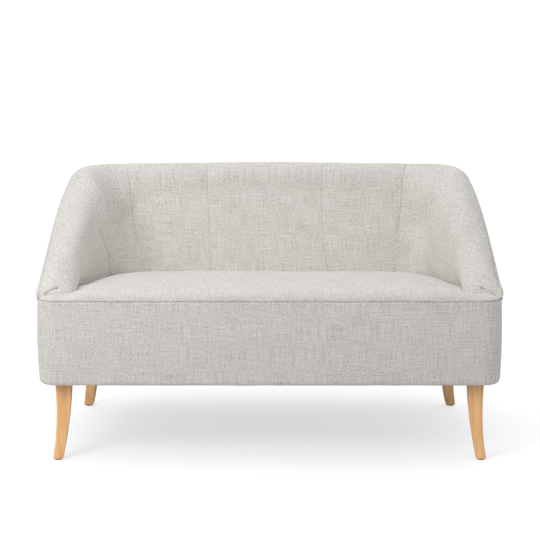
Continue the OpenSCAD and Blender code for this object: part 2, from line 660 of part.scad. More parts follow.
// Foam under the inside covers
pad_gap = cloth + clear;
function pad_face(u) = concat(
    [[rail_face, outside_top(u) - 2 * clear],
     [max(rail_face, roll_point(u, seam_angle, pad_gap + draw_in(u)).x), outside_top(u) + clear]],
    inside_curve(u, pad_gap + draw_in(u), 1));
function pad_core(u, inset, z) = concat(
    [for (k = [0 : roll_steps + 1]) [blend(rail_face + clear, inset, k / (roll_steps + 1)), z]],
    [for (k = [1 : face_steps]) [inset, blend(z, tuck_z, k / (face_steps + 1))]],
    [[inset, tuck_z]]);
function pad_lined(u, z) = concat(
    [for (k = [0 : roll_steps + 1])
        [blend(rail_face + clear, lining_point(u, 0, z).x, k / (roll_steps + 1)), z]],
    [for (k = [1 : face_steps]) lining_point(u, k, z)],
    [[room(u) - back_foam_t, tuck_z]]);
function placed(u, section) = [for (p = section) at(u, p.x, p.y)];
function outside_top(u) = roll_point(u, seam_angle, cloth + draw_in(u)).y - clear;
pad_relief = 2.2;
pad_relief_start_share = 0.8;
function arm_core(u) = arm_core_inset + clear
    + pad_relief * ease((u - pad_relief_start_share) / (1 - pad_relief_start_share));

module arm_foam(side) color("khaki") on_side(side) {
    last = len(arm_rows) - 1;
    body = concat([for (k = [nose_row_count : last - 1]) arm_rows[k]], [arm_seam_share - seam_gap_share]);
    nose = [arm_rows[nose_row_count - 1], arm_rows[nose_row_count] - seam_gap_share / 4];
    sheet([for (u = body) placed(u, pad_face(u))],
        [for (u = body) placed(u, pad_core(u, arm_core(u), ply_top(u) + clear))]);
    sheet([for (u = nose) placed(u, pad_face(u))],
        [for (u = nose) placed(u, pad_core(u, rail_face + 2 * clear, seam_z + clear))]);
}
seam_gap_share = 0.002;

module corner_foam(side) color("khaki") on_side(side) {
    us = concat(
        [arm_seam_share + seam_gap_share], inner_rows(corner_rows), [corner_seam_share - seam_gap_share]);
    sheet([for (u = us) placed(u, pad_face(u))],
        [for (u = us) placed(u, pad_lined(u, corner_core_z + clear))]);
}

function back_section(u) = u > 3 ? mirrored(back_section(6 - u)) : placed(u, pad_face(u));
function back_lining(u) = u > 3 ? mirrored(back_lining(6 - u)) : placed(u, pad_lined(u, back_core_z + clear));
module back_foam() color("khaki") from_front() {
    us = whole_back_rows();
    sheet([for (u = us) back_section(u)], [for (u = us) back_lining(u)]);
}
function whole_back_rows() = concat([corner_seam_share + seam_gap_share], inner_rows(back_rows), centre_rows,
    [for (u = flip(inner_rows(back_rows))) 6 - u], [6 - corner_seam_share - seam_gap_share]);
function inner_rows(rows) = [for (k = [1 : len(rows) - 2]) rows[k]];

// Inside covers: seven panels between drawn-in channels
function cover_section(u, d) =
    u > 3 ? mirrored(cover_section(6 - u, d)) : placed(u, inside_curve(u, draw_in(u) + d, 0));
module inside_cover(rows) {
    last = rows[len(rows) - 1];
    us = concat([rows[0] == 0 ? 0 : rows[0] + seam_gap_share], inner_rows(rows), [last - seam_gap_share]);
    sheet([for (u = us) cover_section(u, 0)], [for (u = us) cover_section(u, cloth)]);
}
module inside_arm(side) color("lightgray") on_side(side) inside_cover(arm_rows);
module inside_corner(side) color("silver") on_side(side) inside_cover(corner_rows);
module inside_back(side) color("lightgray") on_side(side) inside_cover(back_rows);
module inside_back_centre() color("silver") from_front() inside_cover(centre_rows);

// Outside covers: fabric on wadding, from the base's seam up to the seam on the roll
side_level_shares = [0, 0.1, 0.25, 0.5, 1];
function outside_section(u, inner_side) = u > 3 ? mirrored(outside_section(6 - u, inner_side)) :
    let (low = crest(u) - roll_rise(u), rise = min(swell_rise, low - seam_z))
    placed(u, concat(
        [for (t = side_level_shares) let (z = blend(seam_z + clear, low, t))
            [inner_side ? base_lining : -swell(u) * ease((z - seam_z) / rise), z]],
        [for (a = [seam_angle / 2, seam_angle]) let (p = roll_point(u, a, 0))
            [inner_side ? base_lining : p.x, a < seam_angle ? p.y : outside_top(u)]]));
module outside_cover(us)
    sheet([for (u = us) outside_section(u, false)], [for (u = us) outside_section(u, true)]);
module outside_arm(side) color("gainsboro") on_side(side) outside_cover(concat(
    arm_rows, inner_rows(corner_rows), [corner_seam_share - seam_gap_share]));
module outside_back() color("gainsboro") from_front() outside_cover(whole_back_rows());

// Base covers: fabric on wadding round the rails
base_level_shares = [0, 0.3, 1];
base_band_shares = [0.2, 0.5, 0.8, 1];
function base_inset(z) = let (t = (z - skirt_z) / (seam_z - skirt_z), h = min(1, (z - skirt_z) / hem_height))
    -base_bulge * pow(4 * t * (1 - t), 0.7) + (base_lining - cloth) * (1 - sqrt(1 - (1 - h) * (1 - h)));
base_heights = concat([for (s = base_level_shares) skirt_z + hem_height * s],
    [for (s = base_band_shares) blend(skirt_z + hem_height, seam_z, s)]);
function base_section(w, inner_side) = w < 0 ? mirrored(base_section(-w, inner_side)) :
    let (l = base_line(w)) [for (z = base_heights)
        let (p = l[0] - l[1] * (inner_side ? base_lining : base_inset(z))) [p.x, p.y, z]];
module base_cover(ws) sheet([for (w = ws) base_section(w, true)], [for (w = ws) base_section(w, false)]);

front_wrap_share = 2.1;
module base_cover_front() color("lightgray") from_front() base_cover(concat(
    [front_wrap_share - seam_gap_share], [for (k = flip(front_arc)) 1 + k], [0.5, 0, -0.5],
    [for (k = front_arc) -1 - k], [seam_gap_share - front_wrap_share]));
module base_cover_side(side) color("lightgray") on_side(side) base_cover(flip(concat(
    [front_wrap_share + seam_gap_share, 2.5], [for (k = rear_arc) 3 + min(k, 1 - seam_gap_share)])));
module base_cover_back() color("lightgray") from_front() base_cover(flip(concat(
    [4 + seam_gap_share, 4.5, 5, 5.5, 6 - seam_gap_share])));

module dust_cover() color("dimgray") difference() {
    from_front() translate([0, 0, dust_z]) linear_extrude(dust_t) base_plan(rail_face + hem_reach);
    each_bolt() bolt_hole(dust_z - overrun, dust_t + 2 * overrun);
}
hem_reach = 4;

// Legs: sabre shape, turned outwards and slightly towards the corners
leg_angle = 5;
leg_round_share = 0.12;
leg_row_shares = [1, 0.96, 0.85, 0.7, 0.55, 0.4, 0.25, 0.1, 0];
mid_belly = 3;
sole_reach = 5;
sole_depth = 27;
function leg_outer(t) = mid_belly * 4 * t * (1 - t) - leg_kick * pow(t, 3);
function leg_inner(t) = leg_top_width - (leg_top_width - sole_width + leg_kick) * pow(t, 1.8);
function leg_front(t) = mid_belly * 4 * t * (1 - t) - sole_reach * pow(t, 3);
function leg_rear(t) = leg_top_depth - (leg_top_depth - sole_depth + sole_reach) * pow(t, 0.9);
corner_angles = [0, 30, 60, 90];
function rounded(x0, y0, x1, y1, r, z) = [
    for (c = [[x1 - r, y0 + r, front_angle], [x1 - r, y1 - r, 0], [x0 + r, y1 - r, quarter_angle],
              [x0 + r, y0 + r, half_angle]], a = corner_angles)
        [c[0] + r * cos(c[2] + a), c[1] + r * sin(c[2] + a), z]];
function leg_loop(t) = let (
    w = leg_inner(t) - leg_outer(t) , d = leg_rear(t) - leg_front(t),
    z = blend(leg_top_z, glide_t, t))
    rounded(leg_outer(t), leg_front(t), leg_inner(t), leg_rear(t), min(w, d) * leg_round_share, z);

// A leg with its top's middle on the origin in plan
module leg_body() rotate([0, 0, leg_angle]) difference() {
    translate([-leg_top_width / 2, -leg_top_depth / 2, 0]) loft([for (t = leg_row_shares) leg_loop(t)],
        [(leg_outer(1) + leg_inner(1)) / 2, (leg_front(1) + leg_rear(1)) / 2, glide_t],
        [leg_top_width / 2, leg_top_depth / 2, leg_top_z]);
    bolt_hole(leg_top_z - bolt_l - clear, bolt_l + clear + overrun);
}
module glide_body() rotate([0, 0, leg_angle])
    translate([
        (leg_outer(1) + leg_inner(1) - leg_top_width) / 2,
        (leg_front(1) + leg_rear(1) - leg_top_depth) / 2, 0])
    cylinder(r = glide_r, h = glide_t, $fn = round_fn);
module at_leg(back, side) mirror([side > 0 ? 1 : 0, 0, 0]) from_front()
    translate([LEG_TOPS[back].x, LEG_TOPS[back].y, 0]) mirror([0, back, 0]) children();
module leg(back, side) color("burlywood") at_leg(back, side) leg_body();
module glide(back, side) color("dimgray") at_leg(back, side) glide_body();

nut_h = 6;
nut_r = 8;
module leg_bolts() color("silver") each_bolt() translate([0, 0, leg_top_z - bolt_l])
    cylinder(r = bolt_r, h = bolt_l + frame_z - leg_top_z + block_h + nut_h + bolt_r, $fn = round_fn);
module leg_nuts() color("silver") each_bolt() translate([0, 0, frame_z + block_h]) difference() {
    cylinder(r = nut_r, h = nut_h, $fn = 6);
    bolt_hole(-overrun, nut_h + 2 * overrun);
}

front_rail();
back_rail();
side_rail(-1);  // side_rail_left
side_rail(1);  // side_rail_right
corner_rail(-1);  // corner_rail_left
corner_rail(1);  // corner_rail_right
cross_rail();
spring_rail();
corner_blocks();
corner_shelf(-1);  // corner_shelf_left
corner_shelf(1);  // corner_shelf_right
arm_panel(-1);  // arm_panel_left
arm_panel(1);  // arm_panel_right
arm_dowels();
back_ribs();
top_rail();
corner_plate(-1);  // corner_plate_left
corner_plate(1);  // corner_plate_right
corner_board(-1);  // corner_board_left
corner_board(1);  // corner_board_right
back_board();
back_webbing();
seat_springs();
spring_clips();
spring_ties();
deck_cloth();
seat_foam();
seat_cover();
arm_foam(-1);  // arm_foam_left
arm_foam(1);  // arm_foam_right
corner_foam(-1);  // corner_foam_left
corner_foam(1);  // corner_foam_right
back_foam();
inside_arm(-1);  // inside_arm_left
inside_arm(1);  // inside_arm_right
inside_corner(-1);  // inside_corner_left
inside_corner(1);  // inside_corner_right
inside_back(-1);  // inside_back_left
inside_back(1);  // inside_back_right
inside_back_centre();
outside_arm(-1);  // outside_arm_left
outside_arm(1);  // outside_arm_right
outside_back();
base_cover_front();
base_cover_side(-1);  // base_cover_left
base_cover_side(1);  // base_cover_right
base_cover_back();
dust_cover();
leg(0, -1);  // leg_front_left
leg(0, 1);  // leg_front_right
leg(1, -1);  // leg_back_left
leg(1, 1);  // leg_back_right
glide(0, -1);  // glide_front_left
glide(0, 1);  // glide_front_right
glide(1, -1);  // glide_back_left
glide(1, 1);  // glide_back_right
leg_bolts();
leg_nuts();
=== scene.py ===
"""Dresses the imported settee: woven upholstery over padded forms, sabre legs in oak, and a studio.

Lengths are metres in the frame of the CAD part: x to the right, y from front to back, z up.
The settee's plan is worked out with y counted from its front edge, and Plan.to_frame centres it.
"""

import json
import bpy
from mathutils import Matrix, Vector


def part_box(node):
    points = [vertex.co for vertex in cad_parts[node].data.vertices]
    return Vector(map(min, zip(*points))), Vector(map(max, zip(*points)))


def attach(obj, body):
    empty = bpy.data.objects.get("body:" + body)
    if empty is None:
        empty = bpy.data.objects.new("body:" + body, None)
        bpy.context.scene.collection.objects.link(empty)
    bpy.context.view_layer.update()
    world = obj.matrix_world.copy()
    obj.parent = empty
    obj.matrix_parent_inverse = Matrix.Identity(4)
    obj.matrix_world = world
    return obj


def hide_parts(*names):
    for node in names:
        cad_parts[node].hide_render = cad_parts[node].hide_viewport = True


bl_info = {
    "name": "Channel-back settee",
    "version": (1, 0, 0),
    "blender": (4, 5, 0),
    "location": "3D View > Sidebar > Settee",
    "description": "Builds the upholstery, legs and studio round a packed settee frame",
    "category": "Add Mesh",
}

import bpy
import numpy as np
from bpy.props import FloatProperty, FloatVectorProperty, PointerProperty
from bpy.types import Operator, Panel, PropertyGroup

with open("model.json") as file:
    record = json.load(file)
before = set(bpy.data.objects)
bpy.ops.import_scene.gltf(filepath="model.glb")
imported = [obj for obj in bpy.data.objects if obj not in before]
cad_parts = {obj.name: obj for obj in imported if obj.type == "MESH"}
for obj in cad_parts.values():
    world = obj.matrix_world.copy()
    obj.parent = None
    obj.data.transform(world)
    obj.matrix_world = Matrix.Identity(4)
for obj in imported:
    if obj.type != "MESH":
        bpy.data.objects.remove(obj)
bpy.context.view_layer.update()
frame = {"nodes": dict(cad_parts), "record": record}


def length(name, text, value):
    """A length in metres."""
    return FloatProperty(name=name, description=text, default=value, precision=4, unit="LENGTH",
                         subtype="DISTANCE")


def angle(name, text, degrees):
    """An angle, written in degrees and kept in radians."""
    return FloatProperty(name=name, description=text, default=np.radians(degrees), unit="ROTATION",
                         subtype="ANGLE")


def colour(name, text, rgb):
    """A colour as linear red, green and blue."""
    return FloatVectorProperty(name=name, description=text, default=rgb, size=3, min=0, max=1,
                               subtype="COLOR")


def number(name, text, value):
    """A slope, a focal length or a lamp's strength."""
    return FloatProperty(name=name, description=text, default=value)


class SettingsShape(PropertyGroup):
    """Sizes of the upholstered body."""

    base_width: length("Base width", "Width of the base at the front, at its bulge", 1.270)
    depth: length("Depth", "Depth over everything", 0.712)
    height: length("Height", "Height of the back's crest in the middle", 0.750)
    skirt_z: length("Base edge", "Height of the base's lower edge", 0.222)
    seam_z: length("Base seam", "Height of the seam between base and seat", 0.454)
    base_bulge: length("Base bulge", "How far the base's sides swell out at half height", 0.0045)
    front_radius: length("Front corner", "Radius of the base's front corners in plan", 0.055)
    hem_height: length("Hem", "Height of the base's rounded lower edge", 0.016)
    side_taper: angle("Side taper", "Angle by which each side turns in towards the back", 3.9)
    corner_radius: length("Rear corner", "Radius of the rear corners in plan", 0.185)
    nose_y: length("Arm tips", "Distance of the arms' front tips from the front", 0.038)
    crest_slope: number("Arm slope", "Rise of the arm's crest per length of arm", 0.6)
    crest_reach: length("Crest reach", "Distance from the front to where an arm meets the crest", 0.500)
    crest_blend: length("Crest blend", "Length over which the arm's crest blends into the back's", 0.150)
    crest_drop: length("Crest drop", "How much lower the crest is at the corners than in the middle", 0.004)
    roll_width: length("Roll width", "Width of the padded roll along the top", 0.094)
    roll_height: length("Roll height", "Height of the roll's rounding on the outside", 0.045)
    roll_inside: length("Roll inside", "How much further the roll reaches on the inside", 0.014)
    roll_fall: length("Roll fall", "Height of the roll's rounding on the inside", 0.072)
    corner_reach: length("Corner reach", "How much further the roll reaches in at the rear corners", 0.040)
    corner_fall: length("Corner fall", "How much taller the roll's rounding is at the rear corners", 0.095)
    arm_swell: length("Arm swell", "How far the arms' outsides swell out", 0.010)
    back_swell: length("Back swell", "How far the back's outside swells out", 0.003)
    seat_half_width: length("Seat half width", "Half width of the seat beside the arms' tips", 0.585)
    inside_taper: angle("Inside taper", "Angle by which the arms' insides turn in towards the back", 16.5)
    seat_corner: length("Seat corner", "Radius of the seat's rear corners", 0.115)
    seat_depth: length("Seat depth", "Distance from the front to the seat's rear edge", 0.509)
    crown_z: length("Seat crown", "Height of the seat's top at its crown", 0.480)
    seat_edge_z: length("Seat edge", "Height of the seat's edge beside the arms", 0.447)
    seat_edge_drop: length("Seat fall", "How much lower the seat's edge is at the back", 0.008)
    bullnose: length("Bullnose", "Reach of the seat's rounded front edge", 0.028)


class SettingsCloth(PropertyGroup):
    """How the cover is sewn and what it is woven of."""

    channel_pull: length("Channel pull", "Depth by which a seam pulls the padding in", 0.0036)
    channel_reach: length("Channel reach", "Distance over which the padding recovers beside a seam", 0.020)
    crease: length("Crease", "Depth of the crease along a seam", 0.0022)
    crease_reach: length("Crease reach", "Half width of the crease along a seam", 0.0011)
    pucker: length("Pucker", "Length of one pucker along a seam", 0.034)
    light: colour("Light yarn", "Colour of the lighter yarns", (0.80, 0.78, 0.745))
    dark: colour("Dark yarn", "Colour of the darker yarns", (0.37, 0.345, 0.315))
    yarn: length("Yarn pitch", "Distance from one yarn to the next", 0.0013)


class SettingsLegs(PropertyGroup):
    """Sizes and finish of the sabre legs."""

    top_width: length("Top width", "Width of a leg at its top", 0.046)
    top_depth: length("Top depth", "Depth of a leg at its top", 0.070)
    sole_width: length("Sole width", "Width of a leg at its sole", 0.028)
    kick: length("Kick", "How far the sole turns outwards beyond the top", 0.011)
    edge: length("Edge", "Radius of the legs' edges", 0.0035)
    light: colour("Oak", "Colour of the early wood", (0.97, 0.58, 0.275))
    dark: colour("Grain", "Colour of the late wood", (0.78, 0.39, 0.15))


class SettingsStage(PropertyGroup):
    """Camera and light."""

    camera_y: length("Camera distance", "Distance of the camera in front of the middle", 4.566)
    camera_z: length("Camera height", "Height of the camera", 1.361)
    pitch: angle("Pitch", "How far the camera looks down", 11.0)
    lens: number("Lens", "Focal length in millimetres", 107.33)
    key: number("Key", "Strength of the large lamp at the upper left", 26.0)
    top: number("Top", "Strength of the soft lamp above the back", 10.0)
    fill: number("Surround", "Strength of the studio's even light", 0.81)


GROUPS = {
    "settee_shape": SettingsShape,
    "settee_cloth": SettingsCloth,
    "settee_legs": SettingsLegs,
    "settee_stage": SettingsStage,
}


# Curves

# u at the right arm's tip: see Plan
LAST_U = 6


def ease(t):
    """Smooth step: 3 t^2 - 2 t^3 between 0 and 1."""
    t = np.clip(t, 0, 1)
    return t * t * (3 - 2 * t)


def blend(a, b, t):
    """Straight line from a at 0 to b at 1."""
    return a + (b - a) * t


def change(x, span):
    """Smooth step from 0 at a span's start to 1 at its end."""
    start, end = span
    return ease((x - start) / (end - start))


def soft_ramp(x, b):
    """x above b and 0 below -b, joined by a parabola."""
    return np.where(x < -b, 0, np.where(x > b, x, (x + b) ** 2 / (4 * b)))


def quarter(t):
    """Quarter circle: height over a run of 1, upright at 0 and level at 1."""
    return np.sqrt(1 - (1 - np.clip(t, 0, 1)) ** 2)


def bell(distance, reach):
    """Bell curve: 1 at 0, falling by exp(-(distance / reach)^2)."""
    return np.exp(-(distance / reach) ** 2)


def waves(x, y, pitch, seed):
    """Smooth unevenness between -1 and 1: the mean of plane sine waves whose directions, lengths and
    phases follow a seed."""
    rng = np.random.default_rng(seed)
    total = np.zeros(np.broadcast(x, y).shape)
    count, shortest, longest = 7, 0.7, 1.6
    for _ in range(count):
        turn, phase = rng.uniform(0, 2 * np.pi, 2)
        k = 2 * np.pi / (pitch * rng.uniform(shortest, longest))
        total += np.sin(k * (x * np.cos(turn) + y * np.sin(turn)) + phase)
    return total / count


def between(start, end, count, gather=2.6):
    """Values from start to end that lie closer together towards both ends, by a hyperbolic tangent."""
    s = np.linspace(-1, 1, count)
    return blend(start, end, 0.5 + 0.5 * np.tanh(gather * s) / np.tanh(gather))


def ends_gathered(count):
    """Shares from 0 to 1 that lie closer together towards both ends, by a cosine."""
    return 0.5 - 0.5 * np.cos(np.linspace(0, np.pi, count))


def from_tip(u):
    """u counted from the nearer arm's tip: 0 at either tip and 3 in the middle of the back."""
    return np.minimum(u, LAST_U - u)


def run_length(points, axis):
    """Distance along a grid of points in one direction, from its first row or column."""
    steps = np.linalg.norm(np.diff(points, axis=axis), axis=-1)
    start = np.zeros_like(np.take(steps, [0], axis=axis))
    return np.concatenate([start, np.cumsum(steps, axis=axis)], axis=axis)


def with_height(plan_points, z):
    """Points of the plan at a height."""
    return np.concatenate([plan_points, np.broadcast_to(z, plan_points.shape[:-1])[..., None]], -1)


def drawn_in(points, depth):
    """Moves each point of a grid into the padding by a depth, along the grid's normal, which is rows'
    direction x columns'."""
    normal = np.cross(np.gradient(points, axis=0), np.gradient(points, axis=1))
    size = np.linalg.norm(normal, axis=-1, keepdims=True)
    return points + normal / np.maximum(size, 1e-12) * depth[..., None]


def turned(a):
    """Matrix that turns points of a plane by an angle."""
    return np.array([[np.cos(a), np.sin(a)], [-np.sin(a), np.cos(a)]])


def rolled(distance, radius):
    """Depth of an edge rolled under by a quarter circle, at a distance from it."""
    return radius * (1 - quarter(distance / radius))


class Plan:
    """The settee's lines. Along the shell u runs 0..1 on the left side, 1..2 round the rear corner,
    2..3 to the middle of the back and on to 6 at the right arm's tip. The right half mirrors the left.
    Its values are metres, shares of one, angles and, where the name ends in change, spans of u counted
    from the nearer tip."""

    # A cover, the clearance between pieces, and a cover with its lining
    cloth = 0.002
    clear = 0.0003
    lining = 0.0077
    # The arms' tips: their width there, and the spans over which they widen, rise and round
    tip_width = 0.012
    nose_span = (0.105, 0.190)
    nose_blunt = 0.030
    nose_rise = 0.009
    nose_round = 0.050
    # The outside's swell along the arm and up from the base's seam
    swell_run = 0.050
    swell_rise = 0.025
    swell_change = (0.45, 1.00)
    # The roll's wider stretch at each rear corner, and how much of the shell's height its roundings fill
    corner_start_change = (0.55, 1.20)
    corner_end_change = (1.55, 2.25)
    rise_share = 0.80
    fall_share = 0.92
    # The inside face's bulge, and the outer seam's angle round the roll, at the tips and past them
    face_bulge = 0.006
    seam_turn = np.radians((46, 27))
    seam_change = (0.05, 0.70)
    # Where the covers end below the seat, and where the seat starts to fall to the back
    tuck_z = 0.4070
    crown_y = 0.150

    def __init__(self):
        s = self.s = bpy.context.scene.settee_shape
        sin, cos = np.sin(s.side_taper), np.cos(s.side_taper)
        self.half_base = s.base_width / 2 - s.base_bulge
        self.front = s.base_bulge
        self.back = s.depth - s.base_bulge
        self.corner_y = self.back - s.corner_radius
        self.side_run = (self.corner_y + s.corner_radius * sin - s.nose_y) / cos
        self.corner_x = self.half_base - self.side_run * sin - s.corner_radius * cos
        self.inside_start = s.nose_y + self.tip_width
        inside_corner_y = s.seat_depth - s.seat_corner
        self.inside_side_y = inside_corner_y + s.seat_corner * np.sin(s.inside_taper)
        self.inside_corner = (
            s.seat_half_width
            - (self.inside_side_y - self.inside_start) * np.tan(s.inside_taper)
            - s.seat_corner * np.cos(s.inside_taper),
            inside_corner_y,
        )
        self.front_corner_y = self.front + s.front_radius
        corner_run = s.front_radius + (self.front_corner_y - s.nose_y) * sin
        self.front_corner_x = self.half_base - corner_run / cos
        self.lip_z = s.seam_z + self.cloth + 2 * self.clear
        self.lip_end = self.inside_start - self.tip_width / 3
        self.swell_span = (s.nose_y, s.nose_y + self.swell_run)

    def to_frame(self, points):
        """Points counted from the front edge, moved into the frame."""
        return points - np.array([0, self.s.depth / 2, 0])

    def turn(self, u):
        """Outward direction of the outer line, as an angle."""
        return (np.pi - self.s.side_taper) - np.clip(u - 1, 0, 1) * (np.pi / 2 - self.s.side_taper)

    def outer(self, u):
        """Outer line in plan: a slanted straight side, a circular corner and a straight back."""
        w, s = from_tip(u), self.s
        run, a = self.side_run * w, self.turn(w)
        x = np.select([w < 1, w < 2], [run * np.sin(s.side_taper) - self.half_base,
                                       s.corner_radius * np.cos(a) - self.corner_x],
                      -self.corner_x * (3 - w))
        y = np.select([w < 1, w < 2], [s.nose_y + run * np.cos(s.side_taper),
                                       self.corner_y + s.corner_radius * np.sin(a)], self.back)
        return np.stack([np.where(u > 3, -x, x), y], -1)

    def inside_x(self, y):
        """Half width between the insides: beside the outer line at the tips, then beside the seat."""
        s = self.s
        near_tip = self.half_base - self.tip_width - (y - s.nose_y) * np.tan(s.side_taper)
        beside_seat = s.seat_half_width - (y - self.inside_start) * np.tan(s.inside_taper)
        return blend(near_tip, beside_seat, change(y, self.nose_span))

    def inner(self, u):
        """Line where the inside meets the seat: beside the tip, along the seat, round its corner and
        behind it."""
        w, s = from_tip(u), self.s
        side_y = blend(self.inside_start, self.inside_side_y, w)
        a = blend(np.pi - s.inside_taper, np.pi / 2, w - 1)
        cx, cy = self.inside_corner
        x = np.select([w < 1, w < 2], [-self.inside_x(side_y), s.seat_corner * np.cos(a) - cx],
                      -cx * (3 - w))
        y = np.select([w < 1, w < 2], [side_y, cy + s.seat_corner * np.sin(a)], s.seat_depth)
        return np.stack([np.where(u > 3, -x, x), y], -1)

    def room(self, u):
        """Thickness of the shell at the seat, square to the outer line."""
        w = from_tip(u)
        a = self.turn(w)
        gap = self.inner(w) - self.outer(w)
        return -(gap[..., 0] * np.cos(a) + gap[..., 1] * np.sin(a))

    def at(self, u, inset, z):
        """Point of the shell at an inset square to the outer line and a height, leaning along that line
        so that it meets the inner one where the inset fills the shell."""
        out, far, room, a = self.outer(u), self.inner(u), self.room(u), self.turn(from_tip(u))
        inward = np.stack([-np.cos(a) * np.where(u > 3, -1, 1), -np.sin(a)], -1)
        lean = far - out - inward * room[..., None]
        p = out + inward * inset[..., None] + lean * np.minimum(inset / room, 1)[..., None]
        return with_height(p, z)

    def crest(self, u):
        """Height of the crest: level on the back, a slope down each arm and a rounded tip."""
        w, s = from_tip(u), self.s
        y = self.outer(w)[..., 1]
        line = s.height - s.crest_slope * soft_ramp(s.crest_reach - y, s.crest_blend)
        tip = s.seam_z + self.nose_rise
        drop = s.crest_drop * (1 - ease(w - 2)) * ease(w - 1)
        return blend(tip, line, quarter((y - s.nose_y) / self.nose_blunt)) - drop

    def at_nose(self, u):
        """Share of an arm's full width: a quarter ellipse, for a rounded blunt end in plan."""
        return quarter((self.outer(u)[..., 1] - self.s.nose_y) / self.nose_round)

    def swelling(self, u):
        """0 at a tip and 1 where the side's swell is full."""
        return change(self.outer(u)[..., 1], self.swell_span)

    def full_swell(self, u):
        """Swell of the outside away from the tips: more on the arms than on the back."""
        return blend(self.s.arm_swell, self.s.back_swell, change(from_tip(u), self.swell_change))

    def swell(self, u):
        """How far the outside swells past the outer line."""
        return self.full_swell(u) * self.swelling(u)

    def roll_edge(self, u):
        """Inset of the roll's inner edge, above the wood."""
        return blend(self.tip_width, self.s.roll_width - self.full_swell(u), self.at_nose(u))

    def roll_rise(self, u):
        """Height of the roll's rounding on the outside, less where the crest is low."""
        return np.minimum(self.s.roll_height, (self.crest(u) - self.s.seam_z) * self.rise_share)

    def in_corner(self, u):
        """1 in the rear corner and 0 at the arm's middle and on the back."""
        w = from_tip(u)
        return change(w, self.corner_start_change) * (1 - change(w, self.corner_end_change))

    def inside_edge(self, u):
        """Inset where the roll passes into the inside face: further in at the rear corners."""
        s = self.s
        full = s.roll_width - self.full_swell(u) + s.roll_inside + s.corner_reach * self.in_corner(u)
        return blend(self.tip_width, full, self.at_nose(u))

    def inside_fall(self, u):
        """Height of the roll's rounding on the inside, less where the crest is low."""
        face = self.crest(u) - self.edge_z(self.inner(u)[..., 1])
        fall = self.s.roll_fall + self.s.corner_fall * self.in_corner(u)
        return np.minimum(fall, face * self.fall_share)

    def edge_z(self, y):
        """Height of the seat's edge beside the arms, falling smoothly to the back."""
        fall = change(y, (self.nose_span[1], self.s.seat_depth))
        return self.s.seat_edge_z - self.s.seat_edge_drop * fall

    def seam_angle(self, u):
        """Angle round the roll at which the outside cover meets the inside one: further over near the
        tips."""
        return blend(*self.seam_turn, change(from_tip(u), self.seam_change))

    def roll(self, u, a):
        """Inset and height round the roll at an angle: a small ellipse outside the crest's line and a
        larger one inside it."""
        half = (self.roll_edge(u) + self.swell(u)) / 2
        top = half - self.swell(u)
        inside = a > np.pi / 2
        h = np.where(inside, self.inside_edge(u) - top, half)
        v = np.where(inside, self.inside_fall(u), self.roll_rise(u))
        return top - h * np.cos(a), self.crest(u) - v + v * np.sin(a)

    def face(self, u, t):
        """Inset and height of the inside face: a line from the roll to the seat, bulged by a parabola."""
        bulge = self.face_bulge * self.swelling(u) * 4 * t * (1 - t)
        inset = blend(self.inside_edge(u), self.room(u), t) + bulge
        roll_z = self.crest(u) - self.inside_fall(u)
        return inset, blend(roll_z, self.edge_z(self.inner(u)[..., 1]), t)

    def base_line(self, w):
        """Base outline: w 0..1 the front, 1..2 its corner, 2..3 the side, 3..4 the rear corner, 4..6 the
        back; negative w mirrors it. Gives points and outward directions."""
        v, s = np.abs(w), self.s
        front_turn, side_turn, back_turn = 1.5 * np.pi, np.pi - s.side_taper, np.pi / 2
        a = np.select([v < 1, v < 2, v < 3, v < 4],
                      [front_turn, blend(front_turn, side_turn, v - 1), side_turn,
                       blend(side_turn, back_turn, v - 3)], back_turn)
        n = np.stack([np.cos(a), np.sin(a)], -1)
        front_corner = np.array([-self.front_corner_x, self.front_corner_y]) + s.front_radius * n
        rear_corner = np.array([-self.corner_x, self.corner_y]) + s.corner_radius * n
        side = blend(front_corner, rear_corner, (v - 2)[..., None])
        front = np.stack([-self.front_corner_x * v, np.full_like(v, self.front)], -1)
        back = np.stack([-self.corner_x * (5 - v), np.full_like(v, self.back)], -1)
        v = v[..., None]
        p = np.select([v < 1, v < 2, v < 3, v < 4], [front, front_corner, side, rear_corner], back)
        sign = np.stack([np.where(w < 0, -1.0, 1.0), np.ones_like(w)], -1)
        return p * sign, n * sign


# Meshes


def grid_faces(rows, cols, first=0, closed=False):
    """Quads of a grid whose point (i, j) has number first + i * cols + j; closed joins the last row to
    the first."""
    i, j = np.meshgrid(np.arange(rows if closed else rows - 1), np.arange(cols - 1), indexing="ij")
    k = (i + 1) % rows
    quads = np.stack([i * cols + j, k * cols + j, k * cols + j + 1, i * cols + j + 1], -1)
    return quads.reshape(-1, 4) + first


def make_piece(name, points, faces, uv, material, crisp=40):
    """A mesh object at the origin from points, faces that point outwards and cloth coordinates in
    metres. Edges that turn by more than crisp, in degrees, are sharp."""
    mesh = bpy.data.meshes.new(name)
    mesh.from_pydata(points.reshape(-1, 3).tolist(), [], faces)
    corners = np.empty(len(mesh.loops), np.int32)
    mesh.loops.foreach_get("vertex_index", corners)
    layer = mesh.uv_layers.new(name="cloth")
    layer.data.foreach_set("uv", uv.reshape(-1, 2)[corners].astype(np.float32).ravel())
    mesh.polygons.foreach_set("use_smooth", np.ones(len(mesh.polygons), bool))
    mesh.set_sharp_from_angle(angle=np.radians(crisp))
    mesh.materials.append(material)
    mesh.validate()
    piece = bpy.data.objects.new(name, mesh)
    bpy.context.scene.collection.objects.link(piece)
    return piece


def finish_piece(piece, nodes):
    """Ties a piece to the settee's body and hides the CAD nodes that it stands for."""
    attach(piece, "root")
    if nodes:
        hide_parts(*nodes)


